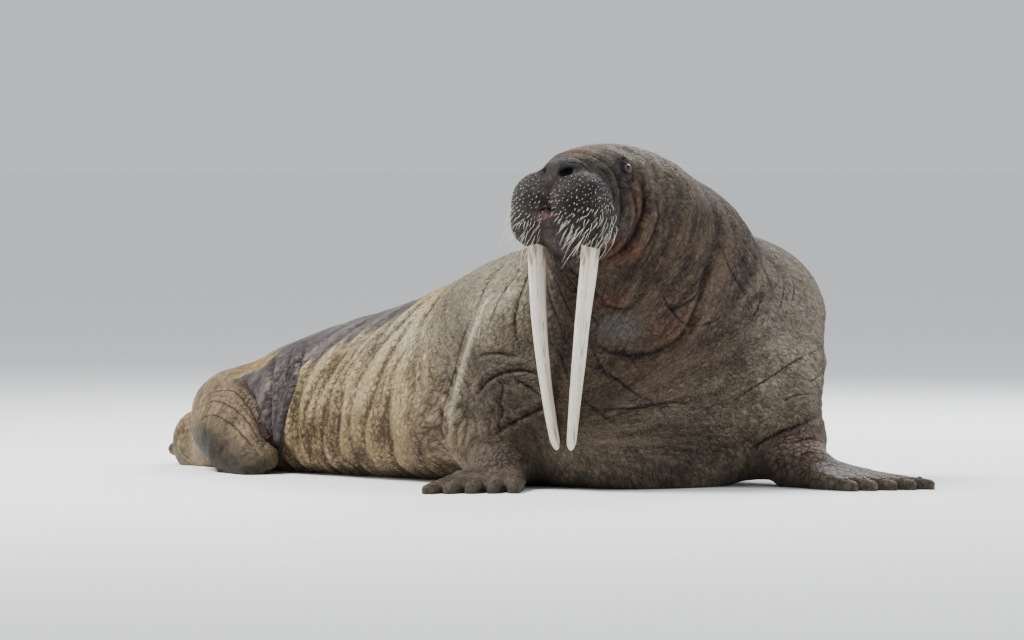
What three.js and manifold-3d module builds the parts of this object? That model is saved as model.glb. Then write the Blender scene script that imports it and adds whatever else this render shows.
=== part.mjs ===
// A walrus lying on its belly at life size, with its chest raised and its head turned to its right.
//
// Millimetres. +X runs forward along the trunk, +Y to the animal's left and +Z up. The origin lies on
// the floor under the middle of the belly. The body is one blended form, described by how far a point
// lies from its skin, and is parted with thin cuts into the pieces that a person would name.
import * as THREE from 'three';
import Module from 'manifold-3d';

const wasm = await Module();
wasm.setup();

// Gaps and floor
const GAP = 0.35;
const FAR = 4000;
const GRID_TRIES = 8;
const GRID_STEPS = [0.618, 0.755, 0.57]; // share of a facet by which each grid is shifted on
const SOLE_LEVEL = 7;

// Trunk: distance along the back, half width and height of the back there
const TRUNK = [
  [-860, 90, 160],
  [-720, 168, 262],
  [-500, 258, 358],
  [-250, 340, 425],
  [50, 400, 495],
  [300, 440, 570],
  [500, 458, 640],
  [700, 450, 660],
  [900, 375, 560],
];
const TRUNK_BEND = 5400; // radius of the trunk's slow bend to the right
const TRUNK_WIDEST = 0.4; // height of the widest line, as a share of the back's height
const TRUNK_SUNK = 30; // how far the belly would reach below the floor if it were not flattened
const TRUNK_SQUARE = 2.25; // 2 is an ellipse, more is squarer
const RUMP_ROUND = 100;
const BREAST_ROUND = 220;

// Neck, throat and shoulder hump
const NECK = [
  { at: [758, 79, 360], radius: 370 },
  { at: [822, -32, 550], radius: 282 },
  { at: [871, -160, 675], radius: 213 },
];
const THROAT = [
  { at: [903, -309, 660], radius: 110 },
  { at: [810, -163, 400], radius: 240 },
];
const HUMP = { at: [806, 292, 440], radii: [268, 256, 226] };

// Head: its own frame has its origin between the eyes, and is given as forward, left, up
const HEAD = { at: [882, -330, 835], yaw: -81 };
const CROWN = { at: [-80, 0, -70], pitch: 6, radii: [200, 148, 145] };
const FACE = { at: [55, 0, -62], pitch: -4, radii: [125, 112, 104] };
const NOSE = { at: [128, 0, -18], pitch: -12, radii: [60, 58, 44] };
const CHEEK = { at: [-20, 0, -130], pitch: 10, radii: [150, 135, 120] };
const JAW = { at: [35, 0, -150], pitch: 6, radii: [130, 88, 72] };
const CHIN = { at: [118, 0, -142], pitch: 62, radii: [70, 55, 48] };
const PAD = { at: [128, 60, -74], yaw: 14, radii: [88, 78, 78] };
const PAD_LOW = { at: [114, 90, -130], yaw: 18, radii: [76, 57, 70] };
const ORBIT = { at: [-6, 80, 0], radii: [58, 36, 38] };

// Eyes, lids, nostrils and ear folds, also forward, left, up from the head's origin
const EYE = { at: [-2, 118, 8], radius: 19, sunk: 12 };
const LID = { radius: 17, thick: 5, squash: 0.74 };
const NOSTRIL = { at: [178, 31, 2], radii: [17, 9, 15], yaw: 20, pitch: 10, roll: 24 };
const EAR = { at: [-128, 136, -30], radius: 13, thick: 4.5, pit: 6, yaw: 100, pitch: 5 };

// Tusks: spread at the lip and at the tip, and the section's half width and half depth
const TUSK = {
  rootHeight: 742,
  lipHeight: 650,
  tipHeight: 108,
  forward: 122,
  bow: 15,
  lipSpread: 85,
  tipSpread: 23,
  spreadPower: 1.4,
  halfWidth: 21.5,
  halfDepth: 28,
  tipShare: 0.5,
  roundShare: 0.06,
  sides: 12,
  rings: 13,
};

// Forelimbs: shoulder, elbow and wrist, then a flat hand that faces yaw degrees from +X
const ARMS = {
  right: {
    side: -1,
    yaw: -62,
    joints: [
      { at: [506, -193, 270], radius: 190 },
      { at: [574, -350, 130], radius: 110 },
      { at: [671, -450, 58], radius: 60 },
    ],
  },
  left: {
    side: 1,
    yaw: 4,
    joints: [
      { at: [938, 252, 250], radius: 200 },
      { at: [1086, 200, 130], radius: 110 },
      { at: [1198, 170, 58], radius: 60 },
    ],
  },
};
const DIGITS = [330, 310, 285, 260, 235]; // lengths, the leading digit first
const DIGIT_SPREAD = [16, 34, 52]; // space between digits at their roots, middles and tips
const DIGIT_RADII = [34, 26, 15];
const DIGIT_HEIGHTS = [-8, -35, -46];
const PALM = { back: -50, front: 70, backRadius: 62, frontRadius: 36, drop: -20 };

// Hind limbs: a heel beside the rump and five long toes folded forward along the flank
const HEEL = { at: [-650, -172, 160], pitch: 15, radii: [125, 98, 112] };
const TOES = 5;
const TOE_UPPER = [[-640, -195, 228], [-470, -275, 150], [-320, -335, 38]];
const TOE_LOWER = [[-650, -250, 92], [-500, -345, 40], [-350, -400, 13]];
const TOE_BULGE = 26;
const TOE_RADII = [46, 34, 17];
const TAIL = [
  { at: [-840, -45, 85], radius: 55 },
  { at: [-985, -72, 42], radius: 22 },
];

// Softness of the joins between forms
const BLEND = {
  hump: 120,
  neck: 85,
  neckJoint: 60,
  throat: 80,
  head: 50,
  face: 60,
  nose: 35,
  cheek: 50,
  orbit: 36,
  chin: 50,
  pad: 30,
  arm: 80,
  elbow: 40,
  wrist: 30,
  hand: 24,
  knuckle: 10,
  heel: 60,
  toe: 34,
  toeJoint: 12,
};

// Bristles of the muzzle: each row fans out from the heart of a pad, and angles are in degrees
const BRISTLE = {
  rows: 6,
  perRow: 8,
  heart: [112, 80, -100],
  turn: [-52, 98],
  lift: [48, -56],
  outward: [0.15, 0.9],
  down: [0.35, 1.15],
  forward: 0.25,
  outerLength: [0.35, 1],
  radius: 1.9,
  tipRadius: 0.35,
  sunk: 9,
  shortest: 24,
  longest: 88,
  droop: 0.75,
  slowing: 0.35,
  clear: 5,
  sides: 3,
  steps: 2,
};

// Sizes of the facets, finest at the head
const FACET = {
  core: [82, 82, 70],
  head: [27, 27, 26],
  pad: [21, 21, 21],
  jaw: [30, 30, 24],
  hand: [34, 34, 15],
  arm: [50, 50, 40],
  toe: [46, 36, 32],
  tail: [36, 28, 24],
};

// Blocks of space in which the facets are made, the head's from its own origin
const SPACE = {
  body: { lo: [-1180, -860, -70], hi: [1420, 720, 1010] },
  head: { lo: [-340, -270, -330], hi: [340, 330, 140] },
  muzzle: { middle: [110, 0, -100], half: [230, 190, 170] },
  arm: { reach: 420, below: 100, above: 330 },
  hindFlipper: { rear: -960, front: -180, inner: 20, outer: 560, low: -60, high: 400 },
  tail: { lo: [-1100, -220, -60], hi: [-760, 100, 220] },
};

// Cuts between the parts of the body
const HEAD_CUT = { pitch: 30, behind: -75, lengths: [600, 640, 760] };
const NECK_CUT = { at: [820, -60, 560], yaw: -70, pitch: 50, lengths: [700, 700, 1400] };
const FOREARM_CUT = { back: 30, front: 40, radii: [150, 92], sides: 20 };
const HAND_CUT = { back: -34, lengths: [520, 420, 240] };
const LEG_CUT = { inner: -125, front: -560, lengths: [700, 700, 700] };
const CHEST_FROM = 352;
const HIPS_FROM = -420;

// Colours
const SKIN = {
  trunk: 0xa8997f,
  neck: 0x8a7866,
  head: 0x6d6158,
  hip: 0x77707a,
  muzzle: 0x3b3532,
  hand: 0x6e6258,
};
const IVORY = 0xe9e2d0;
const EYE_BROWN = 0x1c1412;

// Small vector tools

const add = (a, b) => [a[0] + b[0], a[1] + b[1], a[2] + b[2]];
const sub = (a, b) => [a[0] - b[0], a[1] - b[1], a[2] - b[2]];
const times = (a, k) => [a[0] * k, a[1] * k, a[2] * k];
const dot = (a, b) => a[0] * b[0] + a[1] * b[1] + a[2] * b[2];
const size = (a) => Math.hypot(a[0], a[1], a[2]);
const unit = (a) => times(a, 1 / size(a));
const mix = (a, b, t) => add(times(a, 1 - t), times(b, t));
const cross = (a, b) => [a[1] * b[2] - a[2] * b[1], a[2] * b[0] - a[0] * b[2], a[0] * b[1] - a[1] * b[0]];
const clamp = (v, lo, hi) => Math.min(hi, Math.max(lo, v));
const radians = THREE.MathUtils.degToRad;

// Forward, left and up of a piece that faces yaw degrees from +X and pitch degrees up
function facing(yaw, pitch = 0, roll = 0) {
  const [y, e, r] = [radians(yaw), radians(pitch), radians(roll)];
  const forward = [Math.cos(y) * Math.cos(e), Math.sin(y) * Math.cos(e), Math.sin(e)];
  const level = [-Math.sin(y), Math.cos(y), 0];
  const above = cross(forward, level);
  const left = add(times(level, Math.cos(r)), times(above, Math.sin(r)));
  return [forward, left, cross(forward, left)];
}

const HEAD_AXES = facing(HEAD.yaw);

// Place of a point that is given as forward, left, up from an origin
function placed(origin, axes, [f, l, u]) {
  return add(origin, add(times(axes[0], f), add(times(axes[1], l), times(axes[2], u))));
}

const onHead = (p) => placed(HEAD.at, HEAD_AXES, p);
const onSide = ([f, l, u], side) => [f, l * side, u];

// Distance forms: each gives a function of a point, below zero inside the form

function blend(a, b, softness) {
  return (p) => {
    const [da, db] = [a(p), b(p)];
    const h = clamp(0.5 + (0.5 * (db - da)) / softness, 0, 1);
    return db + (da - db) * h - softness * h * (1 - h);
  };
}

const blendAll = (forms, softness) => forms.reduce((a, b) => blend(a, b, softness));

// The form with its section at a level carried straight down, so that it stands on a flat sole
const soled = (form, level) => ([x, y, z]) => form([x, y, Math.max(z, level)]);

function taper(from, to) {
  const along = sub(to.at, from.at);
  const lengthSquared = dot(along, along);
  return (p) => {
    const t = clamp(dot(sub(p, from.at), along) / lengthSquared, 0, 1);
    return size(sub(p, add(from.at, times(along, t)))) - (from.radius + t * (to.radius - from.radius));
  };
}

function chain(joints, softness) {
  const lengths = [];
  for (let i = 1; i < joints.length; i += 1) lengths.push(taper(joints[i - 1], joints[i]));
  return blendAll(lengths, softness);
}

function ellipsoid(centre, axes, radii) {
  return (p) => {
    const d = sub(p, centre);
    const own = axes.map((axis, i) => dot(d, axis) / radii[i]);
    const reach = size(own);
    const slope = size(own.map((v, i) => v / radii[i]));
    return (reach * (reach - 1)) / Math.max(slope, 1e-9);
  };
}

const headForm = (form) => ellipsoid(onHead(form.at), facing(HEAD.yaw, form.pitch), form.radii);

function padForm(form, side) {
  return ellipsoid(onHead(onSide(form.at, side)), facing(HEAD.yaw + side * form.yaw), form.radii);
}

// Smooth value of one column of the trunk's stations, without overshoot
function stationAt(s, column) {
  const last = TRUNK.length - 1;
  const at = clamp(s, TRUNK[0][0], TRUNK[last][0]);
  let i = 0;
  while (i < last - 1 && TRUNK[i + 1][0] < at) i += 1;
  const step = (k) => (TRUNK[k + 1][column] - TRUNK[k][column]) / (TRUNK[k + 1][0] - TRUNK[k][0]);
  const slope = (k) => {
    if (k === 0) return step(0);
    if (k === last) return step(last - 1);
    const [a, b] = [step(k - 1), step(k)];
    return a * b > 0 ? (2 * a * b) / (a + b) : 0;
  };
  const width = TRUNK[i + 1][0] - TRUNK[i][0];
  const t = (at - TRUNK[i][0]) / width;
  const [a, b] = [TRUNK[i][column], TRUNK[i + 1][column]];
  return (1 + 2 * t) * (1 - t) ** 2 * a + t * (1 - t) ** 2 * width * slope(i)
    + t * t * (3 - 2 * t) * b + t * t * (t - 1) * width * slope(i + 1);
}

function trunk([x, y, z]) {
  const fromCentre = y + TRUNK_BEND;
  const s = Math.atan2(x, fromCentre) * TRUNK_BEND;
  const aside = Math.hypot(x, fromCentre) - TRUNK_BEND;
  const [halfWidth, back] = [stationAt(s, 1), stationAt(s, 2)];
  const widest = TRUNK_WIDEST * back;
  const above = z - widest;
  const halfHeight = above > 0 ? back - widest : widest + TRUNK_SUNK;
  const [rear, front] = [TRUNK[0][0], TRUNK[TRUNK.length - 1][0]];
  const past = Math.max(rear - s, s - front, 0);
  const end = past / (s < 0 ? RUMP_ROUND : BREAST_ROUND);
  const share = (Math.abs(aside / halfWidth) ** TRUNK_SQUARE + Math.abs(above / halfHeight) ** TRUNK_SQUARE
    + end ** TRUNK_SQUARE) ** (1 / TRUNK_SQUARE);
  return Math.hypot(aside, above, past) * (1 - 1 / Math.max(share, 1e-3));
}

// Middle of the trunk at a place along it
const trunkMiddle = (x) => -(x * x) / (2 * TRUNK_BEND);
const across = ([x, y, z], side) => [x, side < 0 ? y : 2 * trunkMiddle(x) - y, z];

const hump = ellipsoid(HUMP.at, facing(0), HUMP.radii);
const neck = blend(chain(NECK, BLEND.neckJoint), taper(...THROAT), BLEND.throat);
const orbit = (side) => ellipsoid(onHead(onSide(ORBIT.at, side)), HEAD_AXES, ORBIT.radii);
const brow = blend(headForm(CROWN), headForm(FACE), BLEND.face);
const face = blend(blend(brow, headForm(NOSE), BLEND.nose), headForm(CHEEK), BLEND.cheek);
const skull = blend(blend(face, orbit(-1), BLEND.orbit), orbit(1), BLEND.orbit);
const jaw = blend(headForm(JAW), headForm(CHIN), BLEND.chin);
const pad = (side) => blend(padForm(PAD, side), padForm(PAD_LOW, side), BLEND.pad);
const heel = (side) => ellipsoid(across(HEEL.at, side), facing(0, HEEL.pitch), HEEL.radii);

function hand({ side, yaw, joints: [, , { at: wrist }] }) {
  const axes = facing(yaw);
  const at = (f, l, u) => placed(wrist, axes, [f, l * side, u]);
  let form = taper({ at: at(PALM.back, 0, 0), radius: PALM.backRadius },
    { at: at(PALM.front, 0, PALM.drop), radius: PALM.frontRadius });
  DIGITS.forEach((length, i) => {
    const off = (DIGITS.length - 1) / 2 - i;
    const reach = [0, 0.45 * length, length];
    const joints = reach.map((f, k) => {
      return { at: at(f, off * DIGIT_SPREAD[k], DIGIT_HEIGHTS[k]), radius: DIGIT_RADII[k] };
    });
    form = blend(form, chain(joints, BLEND.knuckle), BLEND.hand);
  });
  return form;
}

function hindFlipper(side) {
  const toes = [];
  for (let i = 0; i < TOES; i += 1) {
    const k = i / (TOES - 1);
    const bulge = [-0.5 * TOE_BULGE * Math.sin(Math.PI * k), -TOE_BULGE * Math.sin(Math.PI * k), 0];
    const joints = TOE_UPPER.map((upper, j) => {
      const at = add(mix(upper, TOE_LOWER[j], k), j < 2 ? bulge : [0, 0, 0]);
      return { at: across(at, side), radius: TOE_RADII[j] };
    });
    toes.push(chain(joints, BLEND.toeJoint));
  }
  return blendAll(toes, BLEND.toe);
}

const arm = ({ joints }) => chain(joints, BLEND.elbow);
let core = blend(trunk, hump, BLEND.hump);
core = blend(core, neck, BLEND.neck);
for (const side of ['right', 'left']) core = blend(core, arm(ARMS[side]), BLEND.arm);
for (const side of [-1, 1]) core = blend(core, heel(side), BLEND.heel);
const coreWithHead = blend(core, skull, BLEND.head);
const tail = taper(...TAIL);

// Facets of a form inside a block of space, as a solid and as the slightly wider pocket that holds it

// The corners of a cell are numbered by their bits x, y and z, and its faces list them in a ring
const CORNERS = [0, 1, 2, 3, 4, 5, 6, 7].map((i) => [i & 1, (i >> 1) & 1, (i >> 2) & 1]);
const FACES = [[0, 2, 6, 4], [1, 3, 7, 5], [0, 1, 5, 4], [2, 3, 7, 6], [0, 1, 3, 2], [4, 5, 7, 6]];
const edgeKey = (a, b) => Math.min(a, b) * 8 + Math.max(a, b);

// Sheets of skin that pass through a cell, each as the list of cell edges that it crosses
function sheetsIn(inside) {
  const sheet = new Map();
  const joinEdges = (m, n) => {
    const [to, from] = [sheet.get(m) ?? m, sheet.get(n) ?? n];
    sheet.set(m, to);
    sheet.set(n, to);
    for (const [edge, label] of sheet) if (label === from) sheet.set(edge, to);
  };
  for (const ring of FACES) {
    const edges = ring.map((corner, i) => edgeKey(corner, ring[(i + 1) % 4]));
    const crossed = edges.filter((_, i) => inside[ring[i]] !== inside[ring[(i + 1) % 4]]);
    if (crossed.length === 2) joinEdges(crossed[0], crossed[1]);
    if (crossed.length === 4) {
      ring.forEach((corner, i) => {
        if (inside[corner]) joinEdges(edges[(i + 3) % 4], edges[i]);
      });
    }
  }
  const groups = new Map();
  for (const [edge, label] of sheet) groups.set(label, [...(groups.get(label) ?? []), edge]);
  return [...groups.values()];
}

function slopeOf(form, p) {
  const h = 0.5;
  return [0, 1, 2].map((i) => {
    const step = [0, 0, 0];
    step[i] = h;
    return (form(add(p, step)) - form(sub(p, step))) / (2 * h);
  });
}

// Moves a point onto the form's skin
function ontoSkin(form, p, limit) {
  let q = p;
  for (let i = 0; i < 2; i += 1) {
    const slope = slopeOf(form, q);
    const steep = dot(slope, slope);
    if (steep < 1e-6) return p;
    q = sub(q, times(slope, form(q) / steep));
  }
  return size(sub(q, p)) < limit ? q : p;
}

function net(form, lo, hi, cell) {
  const count = [0, 1, 2].map((i) => Math.ceil((hi[i] - lo[i]) / cell[i]) + 1);
  const index = (i, j, k) => (k * count[1] + j) * count[0] + i;
  const place = (i, j, k) => [lo[0] + i * cell[0], lo[1] + j * cell[1], lo[2] + k * cell[2]];
  const values = new Float64Array(count[0] * count[1] * count[2]);
  for (let k = 0; k < count[2]; k += 1) {
    for (let j = 0; j < count[1]; j += 1) {
      for (let i = 0; i < count[0]; i += 1) {
        const rim = [i, j, k].some((v, a) => v === 0 || v === count[a] - 1);
        const value = form(place(i, j, k));
        values[index(i, j, k)] = rim ? Math.max(value, cell[0] / 2) : value;
      }
    }
  }
  const vertices = [];
  const vertexOf = new Map();
  const vertexKey = (cellIndex, edge) => cellIndex * 64 + edge;
  for (let k = 0; k < count[2] - 1; k += 1) {
    for (let j = 0; j < count[1] - 1; j += 1) {
      for (let i = 0; i < count[0] - 1; i += 1) {
        const at = CORNERS.map(([a, b, c]) => values[index(i + a, j + b, k + c)]);
        const inside = at.map((v) => v < 0);
        if (inside.every((v) => v === inside[0])) continue;
        for (const edges of sheetsIn(inside)) {
          const sum = edges.reduce((total, edge) => {
            const [a, b] = [Math.floor(edge / 8), edge % 8];
            return add(total, mix(CORNERS[a], CORNERS[b], at[a] / (at[a] - at[b])));
          }, [0, 0, 0]);
          const mean = times(sum, 1 / edges.length);
          const p = [0, 1, 2].map((n) => lo[n] + ([i, j, k][n] + mean[n]) * cell[n]);
          for (const edge of edges) vertexOf.set(vertexKey(index(i, j, k), edge), vertices.length);
          vertices.push(ontoSkin(form, p, cell[0] / 2));
        }
      }
    }
  }
  const triangles = [];
  const far = (m, n) => size(sub(vertices[m], vertices[n]));
  // Four facets round a crossed grid edge, whose ring of cells is given by their steps back
  const quad = (at, axis, inside) => {
    const ring = [[1, 1], [0, 1], [0, 0], [1, 0]].map(([m, n]) => {
      const back = [0, 0, 0];
      back[(axis + 1) % 3] = m;
      back[(axis + 2) % 3] = n;
      const corner = back[0] + 2 * back[1] + 4 * back[2];
      const cellIndex = index(at[0] - back[0], at[1] - back[1], at[2] - back[2]);
      return vertexOf.get(vertexKey(cellIndex, edgeKey(corner, corner + 2 ** axis)));
    });
    const [a, b, c, d] = inside ? ring : ring.reverse();
    if (far(a, c) < far(b, d)) triangles.push(a, b, c, a, c, d);
    else triangles.push(b, c, d, b, d, a);
  };
  for (let k = 0; k < count[2] - 1; k += 1) {
    for (let j = 0; j < count[1] - 1; j += 1) {
      for (let i = 0; i < count[0] - 1; i += 1) {
        const inside = values[index(i, j, k)] < 0;
        if (inside !== values[index(i + 1, j, k)] < 0) quad([i, j, k], 0, inside);
        if (inside !== values[index(i, j + 1, k)] < 0) quad([i, j, k], 1, inside);
        if (inside !== values[index(i, j, k + 1)] < 0) quad([i, j, k], 2, inside);
      }
    }
  }
  return { vertices, triangles };
}

// True where no edge of the net joins more than two triangles
function isSimple({ vertices, triangles }) {
  const uses = new Map();
  for (let i = 0; i < triangles.length; i += 3) {
    for (let j = 0; j < 3; j += 1) {
      const key = triangles[i + j] * vertices.length + triangles[i + ((j + 1) % 3)];
      if (uses.has(key)) return false;
      uses.set(key, true);
    }
  }
  return true;
}

// The net of facets on the first of a run of shifted grids that gives a simple one
function facets(form, lo, hi, cell) {
  for (let attempt = 0; attempt < GRID_TRIES; attempt += 1) {
    const shift = cell.map((length, axis) => length * ((attempt * GRID_STEPS[axis]) % 1));
    const { vertices, triangles } = net(form, add(lo, shift), hi, cell);
    if (isSimple({ vertices, triangles })) {
      const outward = vertices.map((p) => add(p, times(unit(slopeOf(form, p)), GAP)));
      return { solid: solidOf(vertices.flat(), triangles), pocket: solidOf(outward.flat(), triangles) };
    }
  }
  throw new Error('no grid gives a simple net');
}

// Solids and cutters

function solidOf(positions, triangles) {
  return new wasm.Manifold(new wasm.Mesh({
    numProp: 3, vertProperties: Float32Array.from(positions), triVerts: Uint32Array.from(triangles),
  }));
}

// A closed solid from a three.js geometry, turned to its axes and moved to its place
function solidOfGeometry(geometry, origin, axes) {
  const position = geometry.getAttribute('position');
  const seen = new Map();
  const points = [];
  const indexOf = [];
  for (let i = 0; i < position.count; i += 1) {
    const local = [position.getX(i), position.getY(i), position.getZ(i)];
    const key = local.map((v) => Math.round(v * 1e4)).join();
    if (!seen.has(key)) {
      seen.set(key, points.length);
      points.push(placed(origin, axes, local));
    }
    indexOf.push(seen.get(key));
  }
  const triangles = [];
  const index = geometry.index ? Array.from(geometry.index.array) : indexOf.map((_, i) => i);
  for (let i = 0; i < index.length; i += 3) {
    const [a, b, c] = [0, 1, 2].map((n) => indexOf[index[i + n]]);
    if (a !== b && b !== c && c !== a) triangles.push(a, b, c);
  }
  return solidOf(points.flat(), triangles);
}

function block(centre, axes, lengths) {
  return solidOfGeometry(new THREE.BoxGeometry(...lengths), centre, axes);
}

const wideBlock = (centre, axes, lengths) => block(centre, axes, lengths.map((v) => v + 2 * GAP));
const LEVEL = facing(0);
const underFloor = block([0, 0, -FAR / 2], LEVEL, [FAR, FAR, FAR]);

// The largest closed body of a solid, cut level with the floor
function finished(solid) {
  const bodies = solid.subtract(underFloor).decompose();
  return bodies.reduce((best, body) => (body.volume() > best.volume() ? body : best));
}

const pieces = [];

function keep(name, solid, colour, roughness = 0.85) {
  const mesh = finished(solid).getMesh();
  const geometry = new THREE.BufferGeometry();
  geometry.setAttribute('position', new THREE.BufferAttribute(Float32Array.from(mesh.vertProperties), 3));
  geometry.setIndex(new THREE.BufferAttribute(Uint32Array.from(mesh.triVerts), 1));
  const material = new THREE.MeshStandardMaterial({ color: colour, roughness, metalness: 0 });
  const piece = new THREE.Mesh(geometry, material);
  piece.name = name;
  pieces.push(piece);
}

// Tusks

function tuskPoint(t, side) {
  const drop = Math.max(t, 0);
  const height = t < 0 ? TUSK.lipHeight - t * (TUSK.rootHeight - TUSK.lipHeight)
    : TUSK.lipHeight + t * (TUSK.tipHeight - TUSK.lipHeight);
  const spread = TUSK.lipSpread - (TUSK.lipSpread - TUSK.tipSpread) * drop ** TUSK.spreadPower;
  const forward = TUSK.forward + TUSK.bow * Math.sin(Math.PI * drop);
  return onHead([forward, side * spread, height - HEAD.at[2]]);
}

function tuskShare(t) {
  const narrowing = 1 - (1 - TUSK.tipShare) * Math.max(t, 0);
  const left = clamp((1 - t) / TUSK.roundShare, 0, 1);
  return narrowing * Math.sqrt(1 - (1 - left) ** 2);
}

function tuskSolid(side, extra = 0) {
  const positions = [];
  const triangles = [];
  const stops = [];
  for (let i = 0; i < TUSK.rings; i += 1) stops.push(-1 + (2 - TUSK.roundShare) * (i / (TUSK.rings - 1)));
  stops.push(1 - TUSK.roundShare / 3);
  for (const t of stops) {
    const centre = tuskPoint(t, side);
    const share = tuskShare(t);
    for (let i = 0; i < TUSK.sides; i += 1) {
      const a = (2 * Math.PI * i) / TUSK.sides;
      const aside = times(HEAD_AXES[1], (TUSK.halfWidth * share + extra) * Math.cos(a));
      const deep = times(HEAD_AXES[0], (TUSK.halfDepth * share + extra) * Math.sin(a));
      positions.push(...add(centre, add(aside, deep)));
    }
  }
  const rings = stops.length;
  for (let r = 0; r < rings - 1; r += 1) {
    for (let i = 0; i < TUSK.sides; i += 1) {
      const j = (i + 1) % TUSK.sides;
      const [a, b] = [r * TUSK.sides + i, r * TUSK.sides + j];
      triangles.push(a, b, b + TUSK.sides, a, b + TUSK.sides, a + TUSK.sides);
    }
  }
  const top = positions.length / 3;
  positions.push(...tuskPoint(-1, side), ...add(tuskPoint(1, side), [0, 0, -extra]));
  for (let i = 0; i < TUSK.sides; i += 1) {
    const j = (i + 1) % TUSK.sides;
    const last = (rings - 1) * TUSK.sides;
    triangles.push(top, j, i, top + 1, last + i, last + j);
  }
  return solidOf(positions, triangles);
}

// Bristles: tapered, bent spines whose roots are sunk in the pad

function bristle(root, normal, way, length) {
  const crosswise = unit(cross(normal, way));
  const positions = [];
  const triangles = [];
  const place = (t) => {
    const rise = (length + BRISTLE.sunk) * t * (1 - BRISTLE.slowing * t) - BRISTLE.sunk;
    return add(root, add(times(normal, rise), times(way, length * BRISTLE.droop * t * t)));
  };
  for (let s = 0; s <= BRISTLE.steps; s += 1) {
    const t = s / BRISTLE.steps;
    const centre = place(t);
    const along = unit(sub(place(t + 0.05), place(t - 0.05)));
    const upright = unit(cross(along, crosswise));
    const radius = BRISTLE.radius + (BRISTLE.tipRadius - BRISTLE.radius) * t;
    for (let i = 0; i < BRISTLE.sides; i += 1) {
      const a = (2 * Math.PI * i) / BRISTLE.sides;
      const round = add(times(crosswise, radius * Math.cos(a)), times(upright, radius * Math.sin(a)));
      positions.push(...add(centre, round));
    }
  }
  for (let s = 0; s < BRISTLE.steps; s += 1) {
    for (let i = 0; i < BRISTLE.sides; i += 1) {
      const [a, b] = [s * BRISTLE.sides + i, s * BRISTLE.sides + ((i + 1) % BRISTLE.sides)];
      triangles.push(a, b, b + BRISTLE.sides, a, b + BRISTLE.sides, a + BRISTLE.sides);
    }
  }
  const last = BRISTLE.steps * BRISTLE.sides;
  triangles.push(0, 2, 1, last, last + 1, last + 2);
  const solid = solidOf(positions, triangles);
  return { solid, spots: [0, 0.2, 0.4, 0.6, 0.8, 1].map(place) };
}

function tuskDistance(p, side) {
  let nearest = FAR;
  for (let t = 0; t <= 1; t += 0.05) {
    nearest = Math.min(nearest, size(sub(p, tuskPoint(t, side))) - TUSK.halfDepth * tuskShare(t));
  }
  return nearest;
}

// Where a straight way out of the heart of a form meets its skin
function skinAlong(form, heart, ray) {
  const at = (reach) => add(heart, times(ray, reach));
  let reach = 20;
  while (form(at(reach)) < -0.05 && reach < 200) reach += Math.max(0.05, -0.8 * form(at(reach)));
  return at(reach);
}

const between = ([from, to], share) => from + (to - from) * share;

// Rows of bristles over the front of a pad, short above and long below and outside
function bristles(side) {
  const form = pad(side);
  const heart = onHead(onSide(BRISTLE.heart, side));
  const others = [coreWithHead, jaw, (p) => tuskDistance(p, 1), (p) => tuskDistance(p, -1)];
  const made = [];
  for (let r = 0; r < BRISTLE.rows; r += 1) {
    for (let c = 0; c < BRISTLE.perRow; c += 1) {
      const low = r / (BRISTLE.rows - 1);
      const out = (c + (r % 2 ? 0.5 : 0)) / (BRISTLE.perRow - 0.5);
      const [ray] = facing(HEAD.yaw + side * between(BRISTLE.turn, out), between(BRISTLE.lift, low));
      const root = skinAlong(form, heart, ray);
      const outward = times(HEAD_AXES[1], side * between(BRISTLE.outward, out));
      const forward = times(HEAD_AXES[0], BRISTLE.forward);
      const way = unit(add(outward, add([0, 0, -between(BRISTLE.down, low)], forward)));
      const reach = low * between(BRISTLE.outerLength, out);
      const length = between([BRISTLE.shortest, BRISTLE.longest], reach);
      const hair = bristle(root, unit(slopeOf(form, root)), way, length);
      const outside = hair.spots.filter((p) => form(p) > 0);
      const free = others.every((other) => outside.every((p) => other(p) > BRISTLE.clear));
      const ownSide = hair.spots.every((p) => dot(sub(p, HEAD.at), HEAD_AXES[1]) * side > BRISTLE.clear);
      if (free && ownSide) made.push(hair.solid);
    }
  }
  return made;
}

// Cutters for the parts of the body, each with a wider block that clears the gap beside it

function cutters(centre, axes, lengths) {
  return { tool: block(centre, axes, lengths), clearing: wideBlock(centre, axes, lengths) };
}

function headCutters() {
  const axes = facing(HEAD.yaw, HEAD_CUT.pitch);
  const centre = placed(HEAD.at, axes, [HEAD_CUT.behind + HEAD_CUT.lengths[0] / 2, 0, 0]);
  return cutters(centre, axes, HEAD_CUT.lengths);
}

function neckCutters() {
  const axes = facing(NECK_CUT.yaw, NECK_CUT.pitch);
  return cutters(placed(NECK_CUT.at, axes, [NECK_CUT.lengths[0] / 2, 0, 0]), axes, NECK_CUT.lengths);
}

function handCutters(at, yaw) {
  const { back, lengths } = HAND_CUT;
  const axes = facing(yaw);
  return cutters(placed([at[0], at[1], 0], axes, [back + lengths[0] / 2, 0, 0]), axes, lengths);
}

// A cone round the forearm, from behind the elbow to past the wrist
function forearmCutters(elbow, wrist) {
  const { back, front, radii, sides: around } = FOREARM_CUT;
  const run = sub(wrist, elbow);
  const yaw = THREE.MathUtils.radToDeg(Math.atan2(run[1], run[0]));
  const pitch = THREE.MathUtils.radToDeg(Math.atan2(run[2], Math.hypot(run[0], run[1])));
  const [forward, left, up] = facing(yaw, pitch);
  const length = size(run) + back + front;
  const centre = add(elbow, times(forward, length / 2 - back));
  const cone = (extra) => {
    const [behind, ahead] = radii.map((radius) => radius + extra);
    const shape = new THREE.CylinderGeometry(ahead, behind, length + 2 * extra, around);
    return solidOfGeometry(shape, centre, [left, forward, times(up, -1)]);
  };
  return { tool: cone(0), clearing: cone(GAP) };
}

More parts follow.
